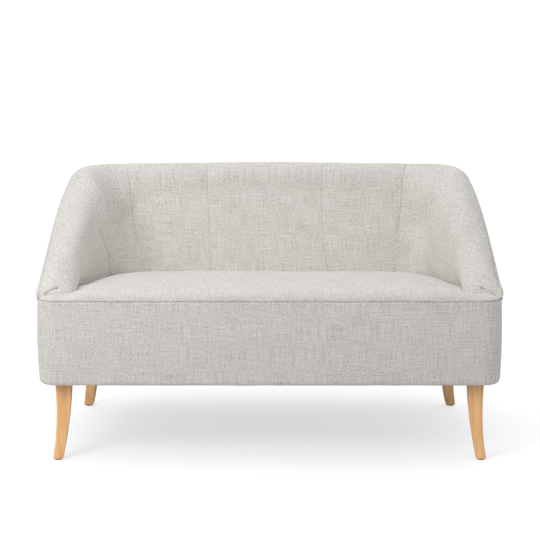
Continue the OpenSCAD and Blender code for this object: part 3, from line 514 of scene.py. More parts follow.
def make_cover(name, plan, first, second, uv, nodes):
    """A closed piece between two grids of equal size and a wall round their edges. The grids' normals,
    rows' direction x columns', leave the piece at the first grid and enter it at the second."""
    rows, cols = first.shape[:2]
    n = rows * cols
    i, j = np.arange(rows), np.arange(cols)
    ring = np.concatenate([j[:-1], i[:-1] * cols + cols - 1, n - cols + j[:0:-1], i[:0:-1] * cols])
    after = np.roll(ring, -1)
    wall = np.stack([ring, after, after + n, ring + n], -1)
    faces = np.concatenate([grid_faces(rows, cols), grid_faces(rows, cols, n)[:, ::-1], wall])
    points = plan.to_frame(np.concatenate([first.reshape(-1, 3), second.reshape(-1, 3)]))
    uv = np.concatenate([uv.reshape(-1, 2)] * 2)
    finish_piece(make_piece(name, points, faces.tolist(), uv, woven_cloth()), nodes)


# Materials


def new_material(name):
    """A material with this name and its shader nodes, or without them where it stands already."""
    material = bpy.data.materials.get(name)
    if material:
        return material, None
    material = bpy.data.materials.new(name)
    material.use_nodes = True
    return material, material.node_tree


def node(tree, kind, **values):
    """Adds a shader node; keys are socket names with _ for a space, or the node's own settings."""
    made = tree.nodes.new(kind)
    for key, value in values.items():
        socket = made.inputs.get(key.replace("_", " "))
        if socket is not None:
            socket.default_value = value
        else:
            setattr(made, key, value)
    return made


def stretched_noise(tree, coordinates, scale, detail=2.0, roughness=0.55):
    """Noise texture on coordinates multiplied by a scale in each direction."""
    mapping = node(tree, "ShaderNodeMapping", Scale=scale)
    noise = node(tree, "ShaderNodeTexNoise", Scale=1.0, Detail=detail, Roughness=roughness)
    tree.links.new(coordinates, mapping.inputs["Vector"])
    tree.links.new(mapping.outputs["Vector"], noise.inputs["Vector"])
    return noise.outputs["Fac"]


def weighted(tree, parts):
    """Sum of sockets, each less 0.5 and times a weight, plus 0.5."""
    total = 0.5
    for socket, weight in parts:
        term = node(tree, "ShaderNodeMath", operation="MULTIPLY_ADD")
        tree.links.new(socket, term.inputs[0])
        term.inputs[1].default_value = weight
        if isinstance(total, float):
            term.inputs[2].default_value = total - weight / 2
        else:
            less = node(tree, "ShaderNodeMath", operation="SUBTRACT")
            tree.links.new(total, less.inputs[0])
            less.inputs[1].default_value = weight / 2
            tree.links.new(less.outputs[0], term.inputs[2])
        total = term.outputs[0]
    return total


def ramp_between(tree, socket, stops):
    """Colour ramp through (place, colour) stops."""
    ramp = node(tree, "ShaderNodeValToRGB")
    elements = ramp.color_ramp.elements
    while len(elements) < len(stops):
        elements.new(0.5)
    for element, (place, rgb) in zip(elements, stops):
        element.position = place
        element.color = (*rgb, 1)
    tree.links.new(socket, ramp.inputs["Fac"])
    return ramp.outputs["Color"]


def shade(tree, base, height, strength, distance, **values):
    """Sets the shader's colour, its bump from a height and its own values."""
    shader = tree.nodes["Principled BSDF"]
    tree.links.new(base, shader.inputs["Base Color"])
    for key, value in values.items():
        shader.inputs[key.replace("_", " ")].default_value = value
    bump = node(tree, "ShaderNodeBump", Strength=strength, Distance=distance)
    tree.links.new(height, bump.inputs["Height"])
    tree.links.new(bump.outputs["Normal"], shader.inputs["Normal"])


def woven_cloth():
    """Heathered linen-look weave: slubs along both yarn directions, yarn by yarn difference and a woven
    relief. The noises' scales are spots per metre of cloth."""
    material, tree = new_material("heathered weave")
    if tree is None:
        return material
    cloth = bpy.context.scene.settee_cloth
    uv = node(tree, "ShaderNodeUVMap", uv_map="cloth").outputs["UV"]
    yarn_width = 0.5 / cloth.yarn
    yarn_length = yarn_width / 28
    slub_width, slub_length, flecks, clouds = 640, 150, 560, 9
    across = stretched_noise(tree, uv, (yarn_length, yarn_width, 1))
    down = stretched_noise(tree, uv, (yarn_width, yarn_length, 1))
    slub_across = stretched_noise(tree, uv, (slub_length, slub_width, 1), detail=1.0)
    slub_down = stretched_noise(tree, uv, (slub_width, slub_length, 1), detail=1.0)
    heather = stretched_noise(tree, uv, (flecks, flecks, 1), detail=1.0, roughness=0.7)
    drift = stretched_noise(tree, uv, (clouds, clouds, 1))
    tone = weighted(tree, [(across, 0.8), (down, 0.8), (slub_across, 1.0), (slub_down, 1.0),
                           (heather, 1.6), (drift, 0.15)])
    middle = [blend(dark, light, 0.62) for dark, light in zip(cloth.dark, cloth.light)]
    base = ramp_between(tree, tone, [(0.0, cloth.dark), (0.5, middle), (1.0, cloth.light)])
    relief = weighted(tree, [(across, 0.8), (down, 0.8), (heather, 0.5)])
    shade(tree, base, relief, strength=0.35, distance=0.0008, Roughness=0.95, Specular_IOR_Level=0.18,
          Sheen_Weight=0.22, Sheen_Roughness=0.5)
    return material


def oak():
    """Oak with the grain along a leg: long streaks, fine pores and a slow change of tone."""
    material, tree = new_material("natural oak")
    if tree is None:
        return material
    legs = bpy.context.scene.settee_legs
    place = node(tree, "ShaderNodeTexCoord").outputs["Object"]
    bands = stretched_noise(tree, place, (75, 75, 2.2), detail=3.0)
    streaks = stretched_noise(tree, place, (340, 340, 7), detail=4.0, roughness=0.6)
    pores = stretched_noise(tree, place, (900, 900, 26), detail=2.0)
    tone = weighted(tree, [(bands, 1.5), (streaks, 0.8), (pores, 0.35)])
    palest = [min(1, 1.1 * c) for c in legs.light]
    base = ramp_between(tree, tone, [(0.18, legs.dark), (0.62, legs.light), (1.0, palest)])
    shade(tree, base, pores, strength=0.12, distance=0.0004, Roughness=0.46, Specular_IOR_Level=0.4,
          Coat_Weight=0.12, Coat_Roughness=0.3)
    return material


def plain(name, dark, light, scale, roughness, metallic=0.0):
    """Material mottled between two colours on Object coordinates."""
    material, tree = new_material(name)
    if tree is None:
        return material
    place = node(tree, "ShaderNodeTexCoord").outputs["Object"]
    tone = stretched_noise(tree, place, scale, detail=3.0)
    base = ramp_between(tree, tone, [(0.3, dark), (0.7, light)])
    shade(tree, base, tone, strength=0.15, distance=0.0006, Roughness=roughness, Metallic=metallic)
    return material


# Upholstery


class Sewing:
    """Small sizes of the padding and its seams, in metres. A rolling is the radius of an edge rolled
    under, a wave the depth and length of slow unevenness, and a fade the distance from a seam or hem
    over which it comes or goes. A share is how much of a full seam's depth stays at an edge. Shifts are
    the steps by which a piece's seed moves its cloth, across and along."""

    pucker_share = 0.45
    cover_rolling = 0.006
    groove, groove_reach = 0.006, 0.0024
    crest_share, side_share, base_share = 0.5, 0.7, 0.4
    over_wood = 0.050
    arm_padding, back_padding = 0.055, 0.045
    pad_fill, seat_fill = 0.8, 0.85
    thinnest = 0.0015
    pad_wave, pad_wave_length = 0.0007, 0.16
    outside_wave, outside_wave_length = 0.0006, 0.20
    outside_rolling = 0.0022
    base_wave, base_wave_length = 0.0012, 0.24
    base_ripple, base_ripple_length = 0.0006, 0.09
    base_rolling = 0.0032
    seat_rolling = 0.0036
    hem_wave, hem_wave_length = 0.0008, 0.13
    hem_fade, seam_fade = 0.03, 0.02
    front_wave, front_wave_lengths = 0.0006, (0.11, 0.37)
    pad_shift, outside_shift, base_shift = (0.37, 0.21), (0.31, 0.17), (0.29, 0.13)
    arm_bias = 0.7


class Pleat:
    """The pleat beside an arm's tip, as points beside the right arm, and the depth and reach of its
    crease, of the strip under it and of the tuck at its upper end, in metres."""

    upper = (0.5750, 0.0648, 0.4828)
    lower = (0.6240, 0.0460, 0.4622)
    crease, crease_reach, crease_fade = 0.0045, 0.0020, 0.4
    strip, strip_reach, strip_edge = 0.0030, 0.020, 0.003
    tuck, tuck_reach = 0.006, 0.0045


def seam_depth(distance, along, seed, pull=1.0):
    """Depth at a distance from a seam: a pull that fades by exp(-distance / reach), with puckers along
    the seam, and a crease as a bell curve."""
    c = bpy.context.scene.settee_cloth
    puckers = 1 + Sewing.pucker_share * waves(along, 0, c.pucker, seed)
    soft = c.channel_pull * pull * puckers * np.exp(-distance / c.channel_reach)
    return soft + c.crease * bell(distance, c.crease_reach)


def edge_seam(distance):
    """Depth beside the seam that joins the inside and outside covers: a quarter circle and a deep,
    narrow groove as a bell curve."""
    return rolled(distance, Sewing.cover_rolling) + Sewing.groove * bell(distance, Sewing.groove_reach)


def cloth_uv(across, up, steps, seed):
    """Cloth coordinates in metres, moved by a piece's seed so that no two pieces show the same yarns."""
    return np.stack([np.broadcast_to(across, up.shape), up], -1) + seed * np.array(steps)


def smooth_columns(values, reach):
    """Runs a bell-shaped average, exp(-(step / reach)^2 / 2), down each row of a grid and keeps its
    ends."""
    pad = 3 * reach
    k = np.exp(-0.5 * (np.arange(-pad, pad + 1) / reach) ** 2)
    k /= k.sum()
    head = 2 * values[:, :1] - values[:, pad:0:-1]
    tail = 2 * values[:, -1:] - values[:, -2:-pad - 2:-1]
    wide = np.concatenate([head, values, tail], 1)
    return np.stack([np.convolve(row, k, "valid") for row in wide])


# Columns of an inside panel round the roll, down its face and into the tuck, the reach in columns of
# their smoothing, and the power by which columns and seams draw towards the roll
ROLL_STEPS, FACE_STEPS, TUCK_STEPS = 60, 70, 5
SMOOTHING = 3
GATHER = 1.5


def inside_grid(plan, uu):
    """Inside surface: round the roll from its outer seam, down the face and into the tuck, with the
    passage from one to the next smoothed."""
    on_roll, on_face = uu[:, :ROLL_STEPS], uu[:, ROLL_STEPS:ROLL_STEPS + FACE_STEPS]
    a = blend(plan.seam_angle(on_roll), np.pi, np.linspace(0, 1, ROLL_STEPS) ** GATHER)
    t = np.arange(1, FACE_STEPS + 1) / FACE_STEPS
    inset, z = (smooth_columns(np.concatenate(parts, 1), SMOOTHING)
                for parts in zip(plan.roll(on_roll, a), plan.face(on_face, t)))
    down = np.linspace(0, 1, TUCK_STEPS + 1)[1:]
    tuck_in = np.repeat(inset[:, -1:], TUCK_STEPS, 1)
    tuck_z = blend(z[:, -1:], plan.tuck_z, down)
    return plan.at(uu, np.concatenate([inset, tuck_in], 1), np.concatenate([z, tuck_z], 1))


def core_grid(plan, uu, thickness):
    """Back of a pad: level over the wood inside the roll, then a straight line down behind the face."""
    s, cols = plan.s, uu.shape[1]
    top = np.minimum(plan.crest(uu), s.height - s.crest_drop) - Sewing.over_wood
    top = np.maximum(top, s.seam_z + plan.clear)
    near = plan.lining + 2 * plan.clear
    deep = np.maximum(np.minimum(plan.inside_edge(uu), plan.room(uu)) - thickness, near)
    step = np.arange(cols) + 1 - ROLL_STEPS
    share = np.minimum(1 + step / (ROLL_STEPS - 1), 1)
    fall = np.maximum(step, 0) / (cols - ROLL_STEPS)
    back_slope = (plan.room(uu) - plan.roll_edge(uu)) * ease(from_tip(uu) - 1)
    inset = blend(near, deep, share) + back_slope * fall
    return plan.at(uu, inset, blend(top, plan.tuck_z, fall))


def arm_fold(points, side):
    """Depth of the pleat at an arm's tip: a crease from a small tuck above the seat down to the outer
    corner, and the strip below it a little deeper. Each is a bell curve of the distance from its
    line."""
    upper, lower = (np.array(place) * [side, 1, 1] for place in (Pleat.upper, Pleat.lower))
    along = lower - upper
    t = ((points - upper) @ along) / (along @ along)
    on_line = np.clip(t, 0, 1)
    near = np.linalg.norm(points - upper - on_line[..., None] * along, axis=-1)
    above = points[..., 2] - upper[2] - t * along[2]
    crease = Pleat.crease * bell(near, Pleat.crease_reach) * (1 - Pleat.crease_fade * on_line)
    ends = ease(0.5 - above / Pleat.strip_edge) * ease(0.4 + 4 * t)
    strip = Pleat.strip * ends * bell(near, Pleat.strip_reach)
    tuck = Pleat.tuck * bell(np.linalg.norm(points - upper, axis=-1), Pleat.tuck_reach)
    return crease + strip + tuck


class Seam:
    """An upright seam between two inside panels: its u on the roll and at the seat, how deep it is on
    both, and over which share of the face the depth changes."""

    def __init__(self, top, foot, top_pull, foot_pull, reach=1.0):
        self.line = (top, foot)
        self.pull = (top_pull, foot_pull)
        self.reach = reach

    def at(self, v):
        """u of the seam at a share v of the face: a power curve from the roll to the seat."""
        return blend(*self.line, v ** GATHER)

    def strength(self, v):
        """Share of the full depth: a smooth step from the roll's value to the seat's."""
        return blend(*self.pull, ease(v / self.reach))


# The six seams from the left arm's to the right arm's, and half of the gap along each, in u
SEAMS = (
    Seam(0.82, 1.18, 0.1, 0.9, reach=0.2),
    Seam(1.83, 1.92, 0.75, 0.2, reach=0.7),
    Seam(2.515, 2.518, 0.4, 0.45),
    Seam(3.405, 3.478, 0.45, 0.4),
    Seam(4.07, 4.08, 0.6, 0.4),
    Seam(5.03, 4.87, 0.1, 0.5, reach=0.3),
)
HALF_GAP = 0.0003


def rows_from_tip(rows):
    """Shares from an arm's tip at 0 to a seam at 1, closer together at the tip and at the seam: a power
    curve that passes into half of a hyperbolic tangent's."""
    even, tip_power = np.linspace(0, 1, rows), 2.2
    whole = between(-1, 1, 2 * rows - 1, gather=1.9)[rows - 1:]
    shares = np.sort(blend(even ** tip_power, whole, even ** 2))
    shares[0], shares[-1] = 0, 1
    return shares


def make_pad(name, panel, rows, seed, nodes, thickness):
    """A padded inside panel, numbered 0 to 6 from the left arm, between two seams or a seam and an
    arm's tip: the inside surface less the depths of its seams and of slow waves."""
    plan = Plan()
    cols = ROLL_STEPS + FACE_STEPS + TUCK_STEPS
    v = np.clip((np.arange(cols) - ROLL_STEPS + 1) / FACE_STEPS, 0, 1)
    left = SEAMS[panel - 1] if panel > 0 else None
    right = SEAMS[panel] if panel < len(SEAMS) else None
    arm = (left is not None) - (right is not None)
    start = left.at(v) + HALF_GAP if left else 0
    end = right.at(v) - HALF_GAP if right else LAST_U
    row = rows_from_tip(rows) if arm else between(0, 1, rows)
    if right is None:
        row = 1 - row[::-1]
    uu = blend(start, end, row[:, None])
    base = inside_grid(plan, uu)
    from_start, down = run_length(base, 0), run_length(base, 1)
    depth = Sewing.pad_wave * (1 + waves(from_start, down, Sewing.pad_wave_length, seed))
    if left:
        depth += seam_depth(from_start, down, seed + 1) * left.strength(v)
    if right:
        depth += seam_depth(from_start[-1] - from_start, down, seed + 2) * right.strength(v)
    depth += edge_seam(down)
    depth += Sewing.crest_share * seam_depth(down, from_start, seed + 3, pull=0.3)
    if arm:
        depth += arm_fold(base, arm)
    front = drawn_in(base, depth)
    front[..., 2] = np.maximum(front[..., 2], seat_surface(plan, front) + plan.clear)
    middle = ROLL_STEPS + FACE_STEPS // 2
    uv = cloth_uv(from_start[:, middle:middle + 1], -down, Sewing.pad_shift, seed)
    uv = uv @ turned(arm * Sewing.arm_bias)
    make_cover(name, plan, core_grid(plan, uu, thickness), front, uv, nodes)


def make_outside(name, start, end, rows, seed, nodes):
    """An outside cover: up from the base's seam, swelling out by a smooth step, and round the roll to
    its seam."""
    plan = Plan()
    s = plan.s
    uu = between(start, end, rows, gather=2.2)[:, None]
    side_cols, roll_cols = 44, 24
    low = plan.crest(uu) - plan.roll_rise(uu)
    side_z = blend(s.seam_z + plan.clear, low, ends_gathered(side_cols))
    rise = np.minimum(plan.swell_rise, low - s.seam_z)
    side_in = -plan.swell(uu) * ease((side_z - s.seam_z) / rise)
    round_roll = 1 - (1 - np.linspace(0, 1, roll_cols + 1)[1:]) ** GATHER
    roll_in, roll_z = plan.roll(uu, plan.seam_angle(uu) * round_roll)
    inset, z = np.concatenate([side_in, roll_in], 1), np.concatenate([side_z, roll_z], 1)
    grid_u = np.repeat(uu, side_cols + roll_cols, 1)
    base = plan.at(grid_u, inset, z)
    along, up = run_length(base, 0), run_length(base, 1)
    top = up[:, -1:] - up
    depth = Sewing.outside_wave * (1 + waves(along, up, Sewing.outside_wave_length, seed))
    depth += rolled(up, Sewing.outside_rolling) + edge_seam(top)
    depth += Sewing.crest_share * seam_depth(top, along, seed + 2, pull=0.2)
    if start > 0:
        depth += seam_depth(along, up, seed + 3, pull=0.3) * Sewing.side_share
    if end < LAST_U:
        depth += seam_depth(along[-1] - along, up, seed + 4, pull=0.3) * Sewing.side_share
    lining = np.minimum(plan.lining, plan.room(uu) / 2)
    back = plan.at(grid_u, np.maximum(lining, inset + depth + Sewing.thinnest), z)
    uv = cloth_uv(along[:, :1], up, Sewing.outside_shift, seed)
    make_cover(name, plan, back, drawn_in(base, depth), uv, nodes)


def front_wave(x):
    """Slow rise and fall of the hand-sewn front seam, as waves of two lengths."""
    short, long = Sewing.front_wave_lengths
    return Sewing.front_wave * (waves(x, 0, short, seed=41) + 0.5 * waves(x, 0, long, seed=42))


def make_base(name, w, seed, nodes):
    """A base cover: a side that swells by a power of a parabola, with a hem rounded by a quarter circle
    below and a rolled edge at the seam above."""
    plan = Plan()
    s = plan.s
    cols_hem, cols_side = 14, 52
    hem_power, swell_power = 1.6, 0.7
    hem_top = s.skirt_z + s.hem_height
    hem = blend(s.skirt_z, hem_top, np.linspace(0, 1, cols_hem, endpoint=False) ** hem_power)
    z = np.concatenate([hem, blend(hem_top, s.seam_z, ends_gathered(cols_side))])
    line, out = (grid[:, None] for grid in plan.base_line(w))
    t = (z - s.skirt_z) / (s.seam_z - s.skirt_z)
    swell = s.base_bulge * (4 * t * (1 - t)) ** swell_power
    hem_in = (plan.lining - plan.cloth) * (1 - quarter((z - s.skirt_z) / s.hem_height))
    inset, z = (np.repeat(row[None, :], len(w), 0) for row in (hem_in - swell, z))
    base = with_height(line - out * inset[..., None], z)
    along, up = run_length(base, 0), run_length(base, 1)
    top = up[:, -1:] - up
    depth = Sewing.base_wave * (1 + waves(along, up, Sewing.base_wave_length, seed))
    depth += Sewing.base_ripple * waves(along, up * 0.5, Sewing.base_ripple_length, seed + 5)
    depth *= ease(up / Sewing.hem_fade) * ease(top / Sewing.seam_fade)
    depth += rolled(top, Sewing.base_rolling)
    depth += Sewing.base_share * seam_depth(top, along, seed + 1, pull=0.3)
    for distance in (along, along[-1] - along):
        depth += seam_depth(distance, up, seed + 2, pull=0.2) * Sewing.side_share
    z += front_wave(base[..., 0]) * bell(top, Sewing.seam_fade)
    hem_wave = Sewing.hem_wave * waves(along, 0, Sewing.hem_wave_length, seed + 7)
    z += hem_wave * bell(up, Sewing.hem_fade)
    front_in = inset + np.minimum(depth, plan.lining)
    back_in = np.maximum(plan.lining, inset + depth + Sewing.thinnest)
    front, back = (with_height(line - out * k[..., None], z) for k in (front_in, back_in))
    uv = cloth_uv(along[:, :1], up, Sewing.base_shift, seed)
    make_cover(name, plan, front, back, uv, nodes)


class SeatForm:
    """Sizes of the seat, in metres, and the powers of its curves. A change is the span of y over which
    one curve passes into another, and the pressed spans are those from free to pressed, across from the
    middle line and along y. The rings' shares are of the way from the centre to the outline, and the
    wall's shares of its height."""

    centre = np.array([0, 0.250])
    points, rings = 620, 72
    front_points, arc_points, side_points, rear_points = 24, 18, 90, 40
    arc_start, arc_end = np.radians((270, 212))
    first_u = 0.02
    step = 0.002
    rear_power = 2.2
    side_powers = (4, 11)
    side_change = (0.06, 0.20)
    front_start = 0.026
    front_seam_change = (0.036, 0.050)
    pressed_share = 0.50
    pressed_across, pressed_along = (0.485, 0.560), (0.085, 0.160)
    slow_wave, slow_length, slow_start = 0.0014, 0.23, 0.06
    edge_wave, edge_length, edge_start, edge_fade = 0.0009, 0.085, 0.04, 0.12
    ring_power = 2.6
    last_ring = 0.03
    bottom_share = 0.985
    wall_shares = (0, 0.15, 0.4, 0.7)
    uv_front = 0.1


def seat_outline(plan):
    """Closed outline of the seat, evenly spaced, from the middle of the front round the right side: a
    straight front, an arc at its corner, the arm's tip, and the inner line moved out by the
    clearance."""
    form = SeatForm
    x = np.linspace(0, 1, form.front_points, endpoint=False) * plan.front_corner_x
    front = np.stack([-x, np.full_like(x, plan.front + plan.clear)], -1)
    a = np.linspace(form.arc_start, form.arc_end, form.arc_points)
    arc = (plan.s.front_radius - plan.clear) * np.stack([np.cos(a), np.sin(a)], -1)
    arc = arc + [-plan.front_corner_x, plan.front_corner_y]
    tip = np.array([[plan.inner(0.0)[0], plan.lip_end]])
    u = np.concatenate([np.linspace(form.first_u, 1, form.side_points),
                        np.linspace(1, 2, form.rear_points)[1:], np.linspace(2, 3, form.rear_points)[1:]])
    ahead = plan.inner(np.minimum(u + form.step, 3)) - plan.inner(u - form.step)
    square = np.stack([ahead[:, 1], -ahead[:, 0]], -1) / np.linalg.norm(ahead, axis=1, keepdims=True)
    half = np.concatenate([front, arc, tip, plan.inner(u) + plan.clear * square])
    loop = np.concatenate([half * [-1, 1], half[::-1][1:]])
    reach = run_length(loop, 0)
    even = np.linspace(0, reach[-1], form.points, endpoint=False)
    return np.stack([np.interp(even, reach, loop[:, k]) for k in (0, 1)], -1)


def seat_height(plan, x, y, outline_y, share, far):
    """Height of the seat's top. From its edge it rises to a long profile: along the front by a quarter
    circle over the distance far from the edge, beside the arms by a power of the share of the outline.
    The arms' blunt ends press it down."""
    s, form = plan.s, SeatForm
    rest = np.maximum(0, (y - plan.crown_y) / (s.seat_depth - plan.crown_y))
    profile = blend(s.crown_z, s.seat_edge_z - s.seat_edge_drop, rest ** form.rear_power)
    at_lip = blend(plan.lip_z, s.seat_edge_z, ease((y - plan.lip_end) / plan.tip_width))
    edge = np.where(y > plan.nose_span[1], plan.edge_z(y), at_lip)
    nose = blend(edge, profile, quarter(far / s.bullnose))
    power = blend(*form.side_powers, change(outline_y, form.side_change))
    frontness = 1 - change(outline_y, (form.front_start, plan.lip_end))
    free = blend(edge, nose, blend(1 - share ** power, 1, frontness))
    beside_arm = change(np.abs(x), form.pressed_across) * (1 - change(y, form.pressed_along))
    return free - form.pressed_share * beside_arm * np.maximum(free - plan.lip_z, 0)


def seat_relief(x, y, far):
    """Slow unevenness of the seat's top, and shorter waves that fade by exp(-far / reach) from its
    edge."""
    form = SeatForm
    slow = form.slow_wave * waves(x, y, form.slow_length, seed=62) * ease(far / form.slow_start)
    near_edge = ease(far / form.edge_start) * np.exp(-far / form.edge_fade)
    return slow + form.edge_wave * waves(x, y, form.edge_length, seed=63) * near_edge


def seat_reach(outline):
    """Directions into the seat, square to its outline, and the centre's distance along each."""
    step = np.roll(outline, -1, 0) - np.roll(outline, 1, 0)
    inward = np.stack([-step[:, 1], step[:, 0]], -1) / np.linalg.norm(step, axis=1, keepdims=True)
    return inward, ((SeatForm.centre - outline) * inward).sum(1)


def seat_surface(plan, points):
    """Height of the seat's top at each point, read along the ray from the seat's centre to its outline,
    and 0 beside the seat."""
    outline = seat_outline(plan)
    spoke, ray = outline - SeatForm.centre, points[..., :2] - SeatForm.centre
    turn, place = np.arctan2(spoke[:, 1], spoke[:, 0]), np.arctan2(ray[..., 1], ray[..., 0])
    size, edge_y, reach = (np.interp(place, turn, k, period=2 * np.pi)
                           for k in (np.hypot(*spoke.T), outline[:, 1], seat_reach(outline)[1]))
    share = np.hypot(ray[..., 0], ray[..., 1]) / size
    inside = np.minimum(share, 1)
    far = (1 - inside) * reach
    x, y = points[..., 0], points[..., 1]
    top = seat_height(plan, x, y, edge_y, inside, far) + seat_relief(x, y, far)
    return np.where(share < 1, top, 0)


def make_seat():
    """Seat: loops that shrink to the middle over a crowned top, an upright wall below, and a closed
    bottom."""
    plan = Plan()
    s, form, centre = plan.s, SeatForm, SeatForm.centre
    outline = seat_outline(plan)
    inward, reach = seat_reach(outline)
    spoke, outline_y = outline - centre, outline[:, 1]
    shares = (1 - (1 - form.last_ring) * np.linspace(0, 1, form.rings) ** form.ring_power)[:, None]
    far = (1 - shares) * reach
    rings = centre + spoke * shares[..., None]
    top = with_height(rings, seat_height(plan, rings[..., 0], rings[..., 1], outline_y, shares, far))
    at_front = 1 - change(outline_y, form.front_seam_change)
    seam_share = at_front * bell(run_length(top, 0), Sewing.seam_fade)
    rolling = rolled(top[..., 2] - s.seam_z, Sewing.seat_rolling) * at_front
    top[..., :2] += inward * rolling[..., None]
    top[..., 2] += front_wave(top[..., 0]) * seam_share
    top[..., 2] += seat_relief(top[..., 0], top[..., 1], far)
    low_z = np.where(outline_y < plan.inside_start, s.seam_z + plan.clear, plan.tuck_z)
    bottom = centre + spoke * form.bottom_share
    loops = [with_height(bottom, plan.tuck_z), with_height(bottom, low_z)]
    for share in form.wall_shares:
        wall = with_height(outline, blend(low_z, top[0, :, 2], share))
        wall[:, :2] += inward * (rolled(wall[:, 2] - s.seam_z, Sewing.seat_rolling) * at_front)[:, None]
        wall[:, 2] += front_wave(wall[:, 0]) * at_front * (1 - share)
        loops.append(wall)
    points = np.concatenate([np.array(loops), top])
    rows = len(points)
    flat = points.transpose(1, 0, 2).reshape(-1, 3)
    over_front = (flat[:, 2] - s.crown_z) * (1 - ease(flat[:, 1] / form.uv_front))
    uv = np.concatenate([np.stack([flat[:, 0], flat[:, 1] + over_front], -1), [centre, centre]])
    middle = [[*centre, plan.tuck_z], [*centre, top[-1, :, 2].mean()]]
    ring = np.arange(form.points) * rows
    after = np.roll(ring, -1)
    lid = np.stack([ring + rows - 1, after + rows - 1, np.full_like(ring, len(flat) + 1)], -1)
    floor = np.stack([after, ring, np.full_like(ring, len(flat))], -1)
    faces = grid_faces(form.points, rows, closed=True).tolist() + lid.tolist() + floor.tolist()
    points = plan.to_frame(np.concatenate([flat, middle]))
    piece = make_piece("seat", points, faces, uv, woven_cloth())
    finish_piece(piece, ["seat_cover", "seat_foam"])


# Legs


class LegForm:
    """Small sizes of a leg, in metres, the powers of its curves and its turn towards its corner."""

    rings, edge_points = 46, 9
    belly = 0.003
    sole_depth = 0.027
    sole_forward = 0.005
    inner_power, rear_power, kick_power = 1.8, 0.9, 3
    foot_share, foot_fade = 0.35, 0.0012
    turn = np.radians(5)


def leg_loops(legs, top_z, sole_z):
    """Sabre leg: rounded rectangles whose four sides follow powers of the share t from the top to the
    sole, the outer and front ones with a parabola's belly."""
    form = LegForm
    t = np.linspace(0, 1, form.rings)
    belly, kick = form.belly * 4 * t * (1 - t), t ** form.kick_power
    outer = belly - legs.kick * kick
    inner = blend(legs.top_width, legs.sole_width - legs.kick, t ** form.inner_power)
    front = belly - form.sole_forward * kick
    rear = blend(legs.top_depth, form.sole_depth - form.sole_forward, t ** form.rear_power)
    z = blend(top_z, sole_z, t)
    radius = legs.edge * (1 - form.foot_share * np.exp(-(z - sole_z) / form.foot_fade))
    left, right, near, rest = outer + legs.edge, inner - legs.edge, front + legs.edge, rear - legs.edge
    loops = []
    for x, y, start in ((right, near, 270), (right, rest, 0), (left, rest, 90), (left, near, 180)):
        a = np.radians(start + np.linspace(0, 90, form.edge_points))
        corner = np.stack([x, y], -1)[:, None]
        arc = radius[:, None, None] * np.stack([np.cos(a), np.sin(a)], -1)
        loops.append(with_height(corner + arc, z[:, None]))
    return np.concatenate(loops, 1)


def make_leg(name, back, side):
    """One leg, turned towards its corner, between the base and its glide."""
    legs = bpy.context.scene.settee_legs
    low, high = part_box(name)
    glide_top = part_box(name.replace("leg", "glide"))[1][2]
    loops = leg_loops(legs, high[2], glide_top) - [legs.top_width / 2, legs.top_depth / 2, 0]
    loops[..., :2] = loops[..., :2] @ turned(LegForm.turn)
    loops = loops * [-side, -1 if back else 1, 1]
    rows, cols = loops.shape[:2]
    flat = loops.reshape(-1, 3)
    middle = (np.array(low) + np.array(high) - flat.min(0) - flat.max(0)) / 2
    flat = flat + [middle[0], middle[1], 0]
    i, j = np.meshgrid(np.arange(rows - 1), np.arange(cols), indexing="ij")
    k = (j + 1) % cols
    quads = np.stack([i * cols + j, (i + 1) * cols + j, (i + 1) * cols + k, i * cols + k], -1)
    way = -1 if (side > 0) != bool(back) else 1
    top, sole = np.arange(cols)[::way], (np.arange(cols) + (rows - 1) * cols)[::-way]
    faces = quads.reshape(-1, 4)[:, ::way].tolist() + [top.tolist(), sole.tolist()]
    piece = make_piece(name + "_turned", flat, faces, flat[:, [0, 2]], oak(), crisp=30)
    finish_piece(piece, [name])


# Operators


class SETTEE_OT_seat(Operator):
    """Builds the padded seat with its rounded front edge"""

    bl_idname = "settee.seat"
    bl_label = "Seat"

    def execute(self, context):
        make_seat()
        return {"FINISHED"}


class SETTEE_OT_arms(Operator):
    """Builds the padded insides of both arms, with the pleat at each tip"""

    bl_idname = "settee.arms"
    bl_label = "Inside arms"

    rows = 190

    def execute(self, context):
        for hand, panel, seed in (("left", 0, 11), ("right", 6, 12)):
            nodes = [f"inside_arm_{hand}", f"arm_foam_{hand}"]
            make_pad(f"arm_pad_{hand}", panel, self.rows, seed, nodes, Sewing.arm_padding)
        return {"FINISHED"}


class SETTEE_OT_corners(Operator):
    """Builds the padded insides of both rear corners"""

    bl_idname = "settee.corners"
    bl_label = "Inside corners"

    rows = 110

    def execute(self, context):
        for hand, panel, seed in (("left", 1, 13), ("right", 5, 14)):
            nodes = [f"inside_corner_{hand}", f"corner_foam_{hand}"]
            make_pad(f"corner_pad_{hand}", panel, self.rows, seed, nodes, Sewing.back_padding)
        return {"FINISHED"}


class SETTEE_OT_back(Operator):
    """Builds the three padded panels of the inside back"""

    bl_idname = "settee.back"
    bl_label = "Inside back"

    side_rows, centre_rows = 90, 130

    def execute(self, context):
        side, padding = self.side_rows, Sewing.back_padding
        make_pad("back_pad_left", 2, side, 15, ["inside_back_left"], padding)
        centre_nodes = ["inside_back_centre", "back_foam"]
        make_pad("back_pad_centre", 3, self.centre_rows, 17, centre_nodes, padding)
        make_pad("back_pad_right", 4, side, 16, ["inside_back_right"], padding)
        return {"FINISHED"}


